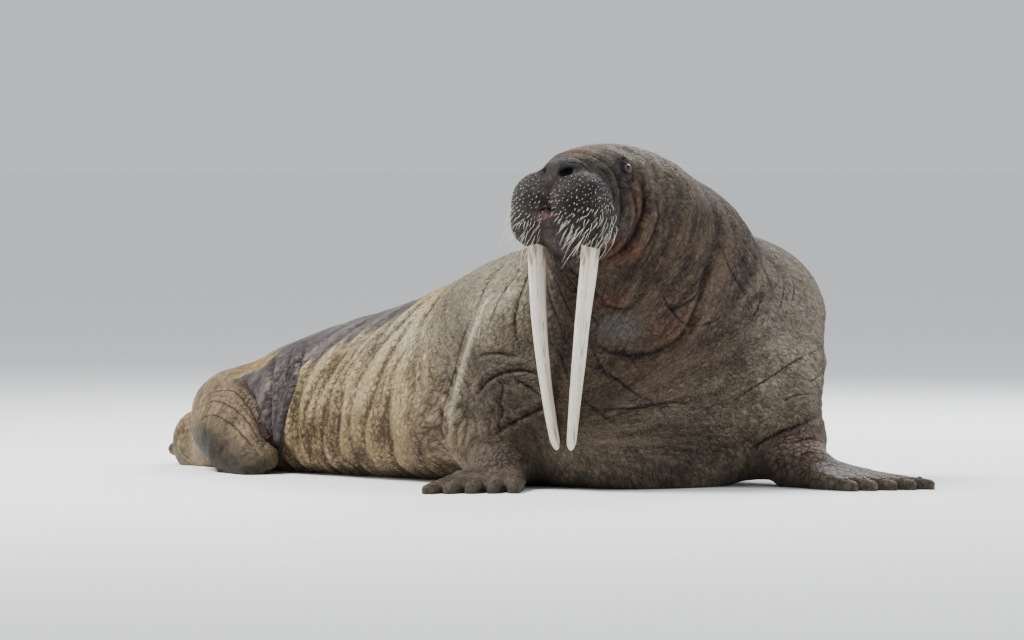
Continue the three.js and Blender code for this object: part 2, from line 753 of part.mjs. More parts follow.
const bodyFacets = facets(coreWithHead, SPACE.body.lo, SPACE.body.hi, FACET.core);

// Head, muzzle, jaw, tusks and eyes

const headTools = headCutters();
const sides = [['right', -1], ['left', 1]];
const beyondMidline = (side) => {
  return block(onHead([0, (-side * (FAR - GAP)) / 2, 0]), HEAD_AXES, [FAR, FAR, FAR]);
};

const muzzleLo = sub(onHead(SPACE.muzzle.middle), SPACE.muzzle.half);
const muzzleHi = add(onHead(SPACE.muzzle.middle), SPACE.muzzle.half);
const tusks = sides.map(([, side]) => tuskSolid(side));
const tuskPockets = sides.map(([, side]) => tuskSolid(side, GAP));

const padSolids = {};
const padPockets = {};
for (const [name, side] of sides) {
  const whole = facets(pad(side), muzzleLo, muzzleHi, FACET.pad);
  padSolids[name] = whole.solid.subtract(beyondMidline(side));
  padPockets[name] = whole.pocket;
}

function withoutAll(solid, tools) {
  return tools.reduce((left, tool) => left.subtract(tool), solid);
}

for (const [name, side] of sides) {
  const bare = withoutAll(padSolids[name], tuskPockets);
  const haired = bristles(side).reduce((whole, hair) => whole.add(hair), bare);
  keep(`muzzle_pad_${name}`, haired, SKIN.muzzle);
  keep(`tusk_${name}`, tusks[name === 'right' ? 0 : 1], IVORY, 0.4);
}

const jawFacets = facets(jaw, muzzleLo, muzzleHi, FACET.jaw);
const muzzlePockets = [padPockets.right, padPockets.left, jawFacets.pocket, ...tuskPockets];
const jawTools = [padPockets.right, padPockets.left, ...tuskPockets];
keep('lower_jaw', withoutAll(jawFacets.solid, jawTools), SKIN.head);

// Place and axes of an eye: it looks straight out of the skin and is sunk in it
function eyePlace(side) {
  const skin = ontoSkin(coreWithHead, onHead(onSide(EYE.at, side)), 60);
  const out = unit(slopeOf(coreWithHead, skin));
  const left = unit(cross([0, 0, 1], out));
  return { skin, heart: sub(skin, times(out, EYE.sunk)), axes: [out, left, cross(out, left)] };
}

function eyeSolid(side, extra = 0) {
  const { heart, axes } = eyePlace(side);
  return solidOfGeometry(new THREE.SphereGeometry(EYE.radius + extra, 16, 10), heart, axes);
}

// A ring of lid round the eye, lower than it is wide
function lidSolid(side) {
  const ring = new THREE.TorusGeometry(LID.radius, LID.thick, 6, 16);
  ring.scale(1, LID.squash, 1);
  const { skin, axes } = eyePlace(side);
  return solidOfGeometry(ring, skin, [axes[1], axes[2], axes[0]]);
}

function nostrilSolid(side) {
  const hole = new THREE.SphereGeometry(1, 12, 8);
  hole.scale(...NOSTRIL.radii);
  const axes = facing(HEAD.yaw + side * NOSTRIL.yaw, NOSTRIL.pitch, side * NOSTRIL.roll);
  return solidOfGeometry(hole, onHead(onSide(NOSTRIL.at, side)), axes);
}

function earFold(side) {
  const fold = new THREE.TorusGeometry(EAR.radius, EAR.thick, 6, 12);
  const [out, left, up] = facing(HEAD.yaw + side * EAR.yaw, EAR.pitch);
  const at = ontoSkin(coreWithHead, onHead(onSide(EAR.at, side)), 80);
  return { fold: solidOfGeometry(fold, at, [left, up, out]),
    pit: solidOfGeometry(new THREE.SphereGeometry(EAR.pit, 8, 6), at, [left, up, out]) };
}

const headLo = add(HEAD.at, SPACE.head.lo);
const headHi = add(HEAD.at, SPACE.head.hi);
let headSolid = facets(coreWithHead, headLo, headHi, FACET.head).solid.intersect(headTools.tool);
for (const [, side] of sides) {
  const ear = earFold(side);
  headSolid = headSolid.add(lidSolid(side)).add(ear.fold).subtract(ear.pit).subtract(nostrilSolid(side));
}
headSolid = withoutAll(headSolid, muzzlePockets);
headSolid = withoutAll(headSolid, sides.map(([, side]) => eyeSolid(side, GAP)));
keep('head', headSolid, SKIN.head);
for (const [name, side] of sides) keep(`eye_${name}`, eyeSolid(side), EYE_BROWN, 0.12);

// Neck, and the trunk with its limbs

const neckTools = neckCutters();
const clearOfMuzzle = [headTools.clearing, ...muzzlePockets];
keep('neck', withoutAll(bodyFacets.solid.intersect(neckTools.tool), clearOfMuzzle), SKIN.neck);
let body = withoutAll(bodyFacets.solid, [...clearOfMuzzle, neckTools.clearing]);

for (const [name, side] of sides) {
  const limb = ARMS[name];
  const [, elbow, wrist] = limb.joints;
  const form = blend(core, hand(limb), BLEND.wrist);
  const handTools = handCutters(wrist.at, limb.yaw);
  const armTools = forearmCutters(elbow.at, wrist.at);
  const { reach, below, above } = SPACE.arm;
  const lo = sub(wrist.at, [reach, reach, below]);
  const hi = add(wrist.at, [reach, reach, above]);
  const flat = facets(soled(form, SOLE_LEVEL), lo, hi, FACET.hand).solid;
  keep(`foreflipper_${name}`, flat.intersect(handTools.tool), SKIN.hand);
  const forearm = facets(form, lo, hi, FACET.arm).solid.intersect(armTools.tool).subtract(handTools.clearing);
  keep(`forearm_${name}`, forearm, SKIN.neck);
  body = withoutAll(body, [armTools.clearing, handTools.clearing]);
}

for (const [name, side] of sides) {
  const inner = across([LEG_CUT.front, LEG_CUT.inner, 0], side)[1];
  const centre = [LEG_CUT.front - LEG_CUT.lengths[0] / 2, inner + side * LEG_CUT.lengths[1] / 2, 0];
  const legTools = cutters(centre, LEVEL, LEG_CUT.lengths);
  keep(`hind_leg_${name}`, body.intersect(legTools.tool), SKIN.hip);
  body = body.subtract(legTools.clearing);
  const { rear, front, inner: near, outer: far, low, high } = SPACE.hindFlipper;
  const lo = [rear, side < 0 ? -far : -near, low];
  const hi = [front, side < 0 ? near : far, high];
  const toes = facets(soled(hindFlipper(side), SOLE_LEVEL), lo, hi, FACET.toe).solid;
  keep(`hind_flipper_${name}`, toes.subtract(bodyFacets.pocket), SKIN.hand);
}

const tailSolid = facets(tail, SPACE.tail.lo, SPACE.tail.hi, FACET.tail).solid;
keep('tail', tailSolid.subtract(bodyFacets.pocket), SKIN.hip);

const chestBlock = (clearing) => block([CHEST_FROM + FAR / 2 - clearing, 0, 0], LEVEL, [FAR, FAR, FAR]);
const hipsBlock = (clearing) => block([HIPS_FROM - FAR / 2 + clearing, 0, 0], LEVEL, [FAR, FAR, FAR]);
keep('chest', body.intersect(chestBlock(0)), SKIN.trunk);
keep('hips', body.intersect(hipsBlock(0)), SKIN.hip);
keep('belly', body.subtract(chestBlock(GAP)).subtract(hipsBlock(GAP)), SKIN.trunk);

const walrus = new THREE.Group();
walrus.add(...pieces);

export default walrus;
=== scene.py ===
"""A life-size museum model of a walrus that lies on its belly with its head turned to its right.

Metres. +X runs forward along the trunk, +Y to the animal's left and +Z up. The flesh is one blended
form, given by how far a point lies from its skin. Its surface is meshed once, finer on the face, then
folded and creased, and dressed as one hide. Tusks, eyes, bristles, claws and hair are separate pieces.
"""
import logging
import math
from contextlib import contextmanager
from dataclasses import dataclass, fields
from enum import Enum
from typing import Callable, Iterable, Iterator, Sequence

import bmesh
import bpy
import numpy as np
import openvdb
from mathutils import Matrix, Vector
from mathutils.bvhtree import BVHTree


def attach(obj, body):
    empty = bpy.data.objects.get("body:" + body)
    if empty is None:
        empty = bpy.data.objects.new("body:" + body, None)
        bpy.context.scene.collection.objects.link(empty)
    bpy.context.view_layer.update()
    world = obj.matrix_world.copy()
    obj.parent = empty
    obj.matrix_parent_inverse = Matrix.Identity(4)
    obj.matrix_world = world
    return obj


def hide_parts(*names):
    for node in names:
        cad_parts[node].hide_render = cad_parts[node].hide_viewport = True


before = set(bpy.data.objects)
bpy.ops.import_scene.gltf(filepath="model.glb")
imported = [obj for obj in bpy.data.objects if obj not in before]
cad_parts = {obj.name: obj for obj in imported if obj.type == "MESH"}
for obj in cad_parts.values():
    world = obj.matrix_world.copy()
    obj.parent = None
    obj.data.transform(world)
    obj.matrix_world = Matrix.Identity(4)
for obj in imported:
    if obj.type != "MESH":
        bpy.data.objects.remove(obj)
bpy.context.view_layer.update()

Array = np.ndarray
Point = tuple[float, float, float]
Pixel = tuple[float, float]
Colour = tuple[float, float, float]
Tones = tuple[Colour, Colour]
Mesh = bpy.types.Mesh
Thing = bpy.types.Object
Material = bpy.types.Material
Socket = bpy.types.NodeSocket

SEED = 11
FOLD_MIDDLE = .38
GOLDEN_ANGLE = 2.399963

# Nodes of the frame that the hide stands for
FLESH = ("head", "neck", "chest", "belly", "hips", "tail", "lower_jaw", *(
    f"{part}_{side}" for part in ("muzzle_pad", "forearm", "foreflipper", "hind_leg", "hind_flipper")
    for side in ("right", "left")))
log = logging.getLogger("walrus")


# Vector tools


def facing(yaw: float, pitch: float = 0, roll: float = 0) -> Array:
    """Axes of a part that faces yaw degrees from +X.

    Args:
        yaw: Turn about the vertical, in degrees.
        pitch: Rise of the forward axis, in degrees.
        roll: Turn about the forward axis, in degrees.

    Returns:
        Rows forward, left and up.
    """
    y, e, r = (math.radians(v) for v in (yaw, pitch, roll))
    forward = np.array([math.cos(y) * math.cos(e), math.sin(y) * math.cos(e), math.sin(e)])
    level = np.array([-math.sin(y), math.cos(y), 0])
    left = level * math.cos(r) + np.cross(forward, level) * math.sin(r)
    return np.array([forward, left, np.cross(forward, left)])


def unit(vectors: Array) -> Array:
    """The vectors scaled to a length of one."""
    return vectors / np.maximum(np.linalg.norm(vectors, axis=-1, keepdims=True), 1e-12)


def ramp(values: Array, low: float, high: float) -> Array:
    """Values eased from 0 at low to 1 at high."""
    t = np.clip((values - low) / (high - low), 0, 1)
    return t * t * (3 - 2 * t)


def smooth_path(points: Sequence[Sequence[float]], steps: int = 6) -> Array:
    """A smooth curve through points.

    Args:
        points: Points to pass through, at least two.
        steps: New points for each stretch.

    Returns:
        The points of the curve.
    """
    p = np.asarray(points, float)
    p = np.vstack([2 * p[0] - p[1], p, 2 * p[-1] - p[-2]])
    t = np.linspace(0, 1, steps, endpoint=False)[:, None]
    runs = []
    for a, b, c, d in zip(p, p[1:], p[2:], p[3:]):
        runs.append(.5 * (2 * b + (c - a) * t + (2 * a - 5 * b + 4 * c - d) * t**2
                           + (3 * b - a - 3 * c + d) * t**3))
    return np.vstack([*runs, p[-2:-1]])


class Noise:
    """Smooth random fields in three dimensions, the same on each run."""

    def __init__(self, seed: int) -> None:
        """Draws the lattice.

        Args:
            seed: Number that fixes the draw.
        """
        rng = np.random.RandomState(seed)
        self.order = np.tile(rng.permutation(256), 2)
        self.slopes = unit(rng.normal(size=(256, 3)))
        self.spots = rng.random_sample((256, 3))

    def _hash(self, cell: Array) -> Array:
        """A number below 256 for each lattice cell."""
        x, y, z = (cell & 255).T
        return self.order[self.order[self.order[x] + y] + z]

    def waves(self, points: Array, octaves: int = 1) -> Array:
        """Gradient noise.

        Args:
            points: Places, one unit for each lattice cell.
            octaves: How many finer copies are added, each at half the strength.

        Returns:
            Values from about -1 to 1.
        """
        total = np.zeros(len(points))
        for octave in range(octaves):
            p = points * 2**octave + 17.3 * octave
            cell = np.floor(p).astype(int)
            part = p - cell
            ease = part**3 * (part * (part * 6 - 15) + 10)
            value = np.zeros(len(p))
            for corner in np.ndindex(2, 2, 2):
                step = np.array(corner)
                slope = self.slopes[self._hash(cell + step)]
                weight = np.prod(np.where(step, ease, 1 - ease), axis=1)
                value += weight * np.einsum("ij,ij->i", slope, part - step)
            total += value * 1.5 * .5**octave
        return total

    def billows(self, points: Array, octaves: int = 1) -> Array:
        """Rounded crests with sharp valleys between them, from 0 in a valley up to about 1."""
        return sum(np.abs(self.waves(points * 2**i + 31.7 * i)) * 1.6 * .5**i for i in range(octaves))

    def cells(self, points: Array) -> Array:
        """How far each point lies from the border of its cell.

        Args:
            points: Places, one unit for each cell.

        Returns:
            Values from 0 on a border up to about 1.
        """
        home = np.floor(points).astype(int)
        nearest = np.full((len(points), 2), 9, float)
        for offset in np.ndindex(3, 3, 3):
            cell = home + np.array(offset) - 1
            gap = np.linalg.norm(cell + self.spots[self._hash(cell)] - points, axis=1)
            closer = gap < nearest[:, 0]
            nearest[:, 1] = np.where(closer, nearest[:, 0], np.minimum(nearest[:, 1], gap))
            nearest[:, 0] = np.where(closer, gap, nearest[:, 0])
        return nearest[:, 1] - nearest[:, 0]


# Forms, each given by how far a point lies from its skin


@dataclass(frozen=True)
class Form:
    """A shape given by how far a point lies from its skin, below zero inside."""

    distance: Callable[[Array], Array]
    low: Array
    high: Array

    def _mixed(self, other: "Form", softness: float, sign: float) -> "Form":
        """Joins another form or cuts it away, which is worked out only near it.

        Args:
            other: The other form.
            softness: How wide the soft seam is.
            sign: 1 to join, -1 to cut away.

        Returns:
            The mixed form.
        """
        margin = softness + .03

        def distance(points: Array) -> Array:
            """Distances from the mixed skin."""
            result = self.distance(points)
            near = np.all((points > other.low - margin) & (points < other.high + margin), axis=1)
            if near.any():
                a, b = sign * result[near], other.distance(points[near])
                h = np.clip(.5 + .5 * (b - a) / softness, 0, 1)
                result[near] = sign * (b + (a - b) * h - softness * h * (1 - h))
            return result

        if sign < 0:
            return Form(distance, self.low, self.high)
        return Form(distance, np.minimum(self.low, other.low), np.maximum(self.high, other.high))

    def blend(self, other: "Form", softness: float) -> "Form":
        """This form and another, joined with a soft hollow between them."""
        return self._mixed(other, softness, 1)

    def carve(self, other: "Form", softness: float) -> "Form":
        """This form without another, with a soft edge."""
        return self._mixed(other, softness, -1)

    def soled(self, level: float) -> "Form":
        """This form with its section at a level carried straight down.

        Args:
            level: Height of the section.

        Returns:
            The new form.
        """

        def distance(points: Array) -> Array:
            """Distances from the new skin."""
            return self.distance(np.column_stack([points[:, :2], np.maximum(points[:, 2], level)]))

        return Form(distance, np.array([*self.low[:2], -1]), self.high)

    def slope(self, points: Array) -> Array:
        """How fast the distance grows along each axis."""
        reach = .0008
        rises = [self.distance(points + step) - self.distance(points - step) for step in np.eye(3) * reach]
        return np.stack(rises, axis=1) / (2 * reach)

    def settle(self, points: Array, rounds: int = 2) -> Array:
        """Moves points onto the skin.

        Args:
            points: The points.
            rounds: How often they are moved.

        Returns:
            The moved points.
        """
        for _ in range(rounds):
            slope = self.slope(points)
            steep = np.maximum(np.einsum("ij,ij->i", slope, slope), .05)
            points = points - slope * (self.distance(points) / steep)[:, None]
        return points


@dataclass(frozen=True)
class Ball:
    """An ellipsoid placed in the frame of the part that carries it."""

    at: Point
    radii: Point
    yaw: float = 0
    pitch: float = 0
    roll: float = 0

    def form(self, origin: Sequence[float] = (0, 0, 0), yaw: float = 0, side: int = 1) -> Form:
        """The ellipsoid as a form.

        Args:
            origin: Origin of the carrying part.
            yaw: The way that part faces, in degrees from +X.
            side: 1 for the left one, -1 for its mirror image on the right.

        Returns:
            The form.
        """
        centre = np.asarray(origin) + np.array([self.at[0], self.at[1] * side, self.at[2]]) @ facing(yaw)
        axes = facing(yaw + side * self.yaw, self.pitch, side * self.roll)
        radii = np.asarray(self.radii)

        def distance(points: Array) -> Array:
            """Distances from the ellipsoid."""
            own = (points - centre) @ axes.T / radii
            reach = np.linalg.norm(own, axis=1)
            return reach * (reach - 1) / np.maximum(np.linalg.norm(own / radii, axis=1), 1e-9)

        return Form(distance, centre - max(radii), centre + max(radii))


@dataclass(frozen=True)
class Joint:
    """A ball along a limb."""

    at: Point | Array
    radius: float


def taper(start: Joint, end: Joint) -> Form:
    """A round length that narrows or widens from one joint to the next.

    Args:
        start: The first joint.
        end: The last joint.

    Returns:
        The form.
    """
    a, b = np.asarray(start.at), np.asarray(end.at)
    along = b - a

    def distance(points: Array) -> Array:
        """Distances from the length's skin."""
        t = np.clip((points - a) @ along / (along @ along), 0, 1)
        radius = start.radius + t * (end.radius - start.radius)
        return np.linalg.norm(points - a - t[:, None] * along, axis=1) - radius

    reach = max(start.radius, end.radius)
    return Form(distance, np.minimum(a, b) - reach, np.maximum(a, b) + reach)


def blend_all(forms: Iterable[Form], softness: float) -> Form:
    """All the forms, joined in turn."""
    first, *rest = forms
    for other in rest:
        first = first.blend(other, softness)
    return first


def chain(joints: Sequence[Joint], softness: float) -> Form:
    """A limb of tapered lengths."""
    return blend_all([taper(a, b) for a, b in zip(joints, joints[1:])], softness)


# The animal's parts as forms


@dataclass(frozen=True)
class Trunk:
    """The trunk, neck and shoulder hump, and the tail."""

    # distance along the back, half width and height of the back there
    stations: tuple[Point, ...] = (
        (-.86, .09, .16),
        (-.72, .168, .262),
        (-.5, .258, .358),
        (-.25, .34, .425),
        (.05, .4, .495),
        (.3, .44, .57),
        (.5, .458, .64),
        (.7, .45, .66),
        (.9, .375, .56),
    )
    bend: float = 5.4
    widest: float = .4
    sunk: float = .03
    square: float = 2.25
    rump_round: float = .1
    breast_round: float = .22
    neck: tuple[Joint, ...] = (
        Joint((.758, .079, .36), .37),
        Joint((.822, -.032, .55), .282),
        Joint((.871, -.16, .675), .213),
    )
    throat: tuple[Joint, ...] = (Joint((.903, -.309, .66), .11), Joint((.81, -.163, .4), .24))
    hump: Ball = Ball((.806, .292, .44), (.268, .256, .226))
    tail: tuple[Joint, ...] = (Joint((-.84, -.045, .085), .055), Joint((-.985, -.072, .042), .022))

    def _station(self, s: Array, column: int) -> Array:
        """Reads one column of the stations smoothly, without overshoot.

        Args:
            s: Distances along the back.
            column: 1 for the half width, 2 for the height.

        Returns:
            The values there.
        """
        x = np.array([row[0] for row in self.stations])
        y = np.array([row[column] for row in self.stations])
        run = np.diff(x)
        step = np.diff(y) / run
        product, total = step[:-1] * step[1:], step[:-1] + step[1:]
        between = np.where(product > 0, 2 * product / (total + 1e-12), 0)
        slope = np.concatenate([step[:1], between, step[-1:]])
        s = np.clip(s, x[0], x[-1])
        i = np.clip(np.searchsorted(x, s) - 1, 0, len(x) - 2)
        t = (s - x[i]) / run[i]
        return ((1 + 2 * t) * (1 - t) ** 2 * y[i] + t * (1 - t) ** 2 * run[i] * slope[i]
                + t * t * (3 - 2 * t) * y[i + 1] + t * t * (t - 1) * run[i] * slope[i + 1])

    def middle(self, x: float | Array) -> float | Array:
        """The trunk's mid-plane: its y at a place along X."""
        return -(x * x) / (2 * self.bend)

    def barrel(self) -> Form:
        """The trunk alone.

        Returns:
            The form, below the floor by as much as it is sunk.
        """
        rear, front = self.stations[0][0], self.stations[-1][0]

        def distance(points: Array) -> Array:
            """Distances from the barrel's skin."""
            x, y, z = points.T
            s = np.arctan2(x, y + self.bend) * self.bend
            aside = np.hypot(x, y + self.bend) - self.bend
            half_width, back = self._station(s, 1), self._station(s, 2)
            above = z - self.widest * back
            half_height = np.where(above > 0, (1 - self.widest) * back, self.widest * back + self.sunk)
            past = np.maximum(np.maximum(rear - s, s - front), 0)
            end = past / np.where(s < 0, self.rump_round, self.breast_round)
            m = self.square
            share = (np.abs(aside / half_width) ** m + np.abs(above / half_height) ** m + end**m) ** (1 / m)
            reach = np.sqrt(aside * aside + above * above + past * past)
            return reach * (1 - 1 / np.maximum(share, 1e-3))

        reach = np.array([.25, .6, .1])
        return Form(distance, np.array([rear, 0, 0]) - reach, np.array([front, 0, .7]) + reach)

    def form(self) -> Form:
        """The trunk with its hump and neck."""
        neck = chain(self.neck, .06).blend(taper(*self.throat), .08)
        return self.barrel().blend(self.hump.form(), .12).blend(neck, .085)


@dataclass(frozen=True)
class Head:
    """The head. Its own frame has its origin between the eyes and is given as forward, left, up."""

    at: Point = (.882, -.33, .835)
    yaw: float = -81
    crown: Ball = Ball((-.08, 0, -.07), (.2, .148, .145), pitch=6)
    face: Ball = Ball((.055, 0, -.062), (.125, .112, .104), pitch=-4)
    nose: Ball = Ball((.128, 0, -.018), (.06, .058, .044), pitch=-12)
    cheek: Ball = Ball((-.02, 0, -.13), (.15, .135, .12), pitch=10)
    orbit: Ball = Ball((-.006, .08, 0), (.058, .036, .038))
    jaw: Ball = Ball((.035, 0, -.15), (.13, .088, .072), pitch=6)
    chin: Ball = Ball((.118, 0, -.142), (.07, .055, .048), pitch=62)
    pad: Ball = Ball((.128, .06, -.074), (.088, .078, .078), yaw=14)
    pad_low: Ball = Ball((.114, .09, -.13), (.076, .057, .07), yaw=18)
    nostril: Ball = Ball((.168, .04, .004), (.026, .022, .012), yaw=34, pitch=16, roll=24)

    @property
    def axes(self) -> Array:
        """Rows forward, left and up of the head."""
        return facing(self.yaw)

    def place(self, forward: float, left: float, up: float) -> Array:
        """A point of the head in the row frame."""
        return np.asarray(self.at) + np.array([forward, left, up]) @ self.axes

    def own(self, points: Array) -> Array:
        """Points of the row frame as forward, left, up of the head."""
        return (points - np.asarray(self.at)) @ self.axes.T

    def part(self, ball: Ball, side: int = 1) -> Form:
        """One of the head's ellipsoids."""
        return ball.form(self.at, self.yaw, side)

    def skull(self) -> Form:
        """The head without jaw and muzzle pads."""
        brow = self.part(self.crown).blend(self.part(self.face), .06)
        face = brow.blend(self.part(self.nose), .035).blend(self.part(self.cheek), .05)
        return blend_all([face, self.part(self.orbit, -1), self.part(self.orbit, 1)], .036)

    def lower_jaw(self) -> Form:
        """The jaw with its chin."""
        return self.part(self.jaw).blend(self.part(self.chin), .05)

    def muzzle_pad(self, side: int) -> Form:
        """One of the two bristled pads."""
        return self.part(self.pad, side).blend(self.part(self.pad_low, side), .03)

    def muzzle(self) -> Form:
        """Both pads with the groove between them."""
        return self.muzzle_pad(-1).blend(self.muzzle_pad(1), .007)

    def join(self, body: Form) -> Form:
        """The body with the whole head on it.

        Args:
            body: The form that the head is joined to.

        Returns:
            The form with head, jaw, muzzle and nostrils.
        """
        whole = body.blend(self.skull(), .05).blend(self.lower_jaw(), .018).blend(self.muzzle(), .013)
        for side in (-1, 1):
            whole = whole.carve(self.part(self.nostril, side), .006)
        return whole


@dataclass(frozen=True)
class Forelimb:
    """A forelimb that ends in a flat five-fingered flipper."""

    side: int
    yaw: float
    joints: tuple[Joint, ...]
    digits: tuple[float, ...] = (.33, .31, .285, .26, .235)
    spread: Point = (.016, .034, .052)
    radii: Point = (.034, .026, .015)
    heights: Point = (-.008, -.035, -.046)
    palm: tuple[Joint, ...] = (Joint((-.05, 0, 0), .062), Joint((.07, 0, -.02), .036))

    def place(self, forward: float, left: float, up: float) -> Array:
        """A point of the hand in the row frame, with left turned outward."""
        return np.asarray(self.joints[-1].at) + np.array([forward, left * self.side, up]) @ facing(self.yaw)

    def digit(self, index: int) -> list[Joint]:
        """Places one digit.

        Args:
            index: The digit's number, from the leading one.

        Returns:
            Its root, middle and tip.
        """
        off = (len(self.digits) - 1) / 2 - index
        length = self.digits[index]
        reach = (0, .45 * length, length)
        return [Joint(self.place(forward, off * spread, height), radius)
                for forward, spread, height, radius in zip(reach, self.spread, self.heights, self.radii)]

    def hand(self) -> Form:
        """The flipper."""
        palm = taper(*(Joint(self.place(*joint.at), joint.radius) for joint in self.palm))
        digits = [chain(self.digit(i), .01) for i in range(len(self.digits))]
        return blend_all([palm, *digits], .024).soled(.007)


@dataclass(frozen=True)
class HindLimb:
    """A hind limb whose heel lies beside the rump, with five long toes folded forward along the flank."""

    side: int
    trunk: Trunk
    heel: Ball = Ball((-.65, -.172, .16), (.125, .098, .112), pitch=15)
    toes: int = 5
    upper: tuple[Point, ...] = ((-.64, -.195, .228), (-.47, -.275, .15), (-.32, -.335, .038))
    lower: tuple[Point, ...] = ((-.65, -.25, .092), (-.5, -.345, .04), (-.35, -.4, .013))
    bulge: float = .026
    radii: Point = (.046, .034, .017)

    def across(self, at: Sequence[float]) -> Array:
        """A point of the right limb, or its mirror image in the trunk's middle."""
        x, y, z = at
        return np.array([x, y if self.side < 0 else 2 * self.trunk.middle(x) - y, z])

    def toe(self, index: int) -> list[Joint]:
        """Places one toe between the upper and the lower one.

        Args:
            index: The toe's number, from the upper one.

        Returns:
            Its root, middle and tip.
        """
        k = index / (self.toes - 1)
        swell = np.array([-.5, -1, 0]) * self.bulge * math.sin(math.pi * k)
        joints = []
        for high, low, radius, swelling in zip(self.upper, self.lower, self.radii, (swell, swell, 0)):
            at = np.asarray(high) * (1 - k) + np.asarray(low) * k + swelling
            joints.append(Joint(self.across(at), radius))
        return joints

    def ankle(self) -> Form:
        """The heel."""
        return Ball(self.across(self.heel.at), self.heel.radii, pitch=self.heel.pitch).form()

    def foot(self) -> Form:
        """The folded flipper."""
        return blend_all([chain(self.toe(i), .012) for i in range(self.toes)], .03).soled(.007)


@dataclass(frozen=True)
class Spine:
    """The line through the middle of the animal, which straightens it: folds and colours follow it."""

    course: tuple[Point, ...] = (
        (-1.02, -.07, .06),
        (-.72, -.04, .13),
        (-.35, -.01, .18),
        (.05, 0, .22),
        (.42, .01, .27),
        (.68, .02, .34),
        (.8, -.03, .47),
        (.85, -.13, .62),
        (.875, -.26, .72),
        (.892, -.38, .75),
        (.915, -.52, .75),
    )
    softness: float = .1

    def straighten(self, points: Array) -> tuple[Array, Array]:
        """Lays the animal straight.

        Args:
            points: Points of the row frame.

        Returns:
            Each point's place along the animal, to its left and up, and the way forward there.
        """
        path = smooth_path(self.course, 10)
        run = np.concatenate([[0], np.cumsum(np.linalg.norm(np.diff(path, axis=0), axis=1))])
        forward = unit(np.gradient(path, axis=0))
        bends = ramp(run / run[-1], .5, .9)[:, None]
        overhead = unit(np.array([[0, 0, 1]]) * (1 - bends) + np.array([[-.25, .55, .8]]) * bends)
        left = unit(np.cross(overhead, forward))
        up = np.cross(forward, left)
        result, ahead = np.empty_like(points), np.empty_like(points)
        for start in range(0, len(points), 20000):
            part = points[start:start + 20000]
            gap = ((part[:, None, :] - path[None]) ** 2).sum(axis=2)
            weight = np.exp(-(gap - gap.min(axis=1, keepdims=True)) / (2 * self.softness**2))
            weight /= weight.sum(axis=1, keepdims=True)
            off = part - weight @ path
            ahead[start:start + 20000] = unit(weight @ forward)
            result[start:start + 20000, 0] = weight @ run
            result[start:start + 20000, 1] = np.einsum("ij,ij->i", off, unit(weight @ left))
            result[start:start + 20000, 2] = np.einsum("ij,ij->i", off, unit(weight @ up))
        return result, ahead


# The photograph's view, which places creases and colour patches on the skin


@dataclass(frozen=True)
class Viewpoint:
    """The camera of the photograph."""

    azimuth: float = 44
    elevation: float = 1.5
    distance: float = 18
    pixels_per_metre: float = 380
    target: Point = (.734, -.4725, .447)
    width: int = 1024
    height: int = 640
    sensor: float = 36

    @property
    def lens(self) -> float:
        """Focal length that gives the photograph's scale at the target."""
        return self.sensor * self.distance * self.pixels_per_metre / self.width

    @property
    def back(self) -> Vector:
        """The way from the target to the camera."""
        a, e = math.radians(self.azimuth), math.radians(self.elevation)
        return Vector((math.sin(a) * math.cos(e), -math.cos(a) * math.cos(e), math.sin(e)))

    @property
    def location(self) -> Vector:
        """Where the camera stands."""
        return Vector(self.target) + self.back * self.distance

    @property
    def right(self) -> Vector:
        """The picture's way to the right."""
        return Vector((0, 0, 1)).cross(self.back).normalized()

    def ray(self, pixel: Pixel) -> Vector:
        """The way from the camera through a pixel of the photograph."""
        scale = self.sensor / self.width / self.lens
        across, drop = (pixel[0] - self.width / 2) * scale, (pixel[1] - self.height / 2) * scale
        return (self.right * across - self.back.cross(self.right) * drop - self.back).normalized()

    def pixels(self, points: Array) -> tuple[Array, Array]:
        """Where the photograph shows points.

        Args:
            points: Points of the row frame.

        Returns:
            Pixels across and pixels down.
        """
        right, back = np.array(self.right), np.array(self.back)
        off = points - np.array(self.location)
        scale = self.width * self.lens / self.sensor / -(off @ back)
        return self.width / 2 + off @ right * scale, self.height / 2 - off @ np.cross(back, right) * scale

    def add_camera(self) -> None:
        """Puts the camera in the scene."""
        camera = bpy.data.objects.new("camera", bpy.data.cameras.new("camera"))
        camera.data.lens = self.lens
        camera.data.clip_end = 200
        camera.location = self.location
        camera.rotation_mode = "QUATERNION"
        camera.rotation_quaternion = (-self.back).to_track_quat("-Z", "Y")
        bpy.context.scene.collection.objects.link(camera)
        bpy.context.scene.camera = camera


class Twin(Enum):
    """Whether a mark has a mirror image on the animal's other side, and in which plane."""

    NONE = "none"
    HEAD = "head"
    TRUNK = "trunk"


@dataclass(frozen=True)
class Crease:
    """A crease in the skin, or a ridge where its depth is below zero, through pixels of the photograph."""

    name: str
    pixels: tuple[Pixel, ...]
    depth: float
    width: float
    roll: float
    twin: Twin


def alike(name: str, sizes: Point, *courses: Sequence[float], twin: Twin = Twin.NONE) -> list[Crease]:
    """Makes creases of one kind.

    Args:
        name: Their name.
        sizes: Their depth and width, and the height of the rolls beside them.
        courses: For each crease its pixels, across and down in turn.
        twin: Where their mirror images lie.

    Returns:
        The creases.
    """
    return [Crease(name, tuple(zip(course[::2], course[1::2])), *sizes, twin) for course in courses]


@dataclass(frozen=True)
class Patch:
    """A patch of colour round a pixel of the photograph, with its darkest and lightest tone."""

    name: str
    pixel: Pixel
    radii: tuple[float, float]
    dark: Colour
    light: Colour
    strength: float = 1
    twin: Twin = Twin.NONE


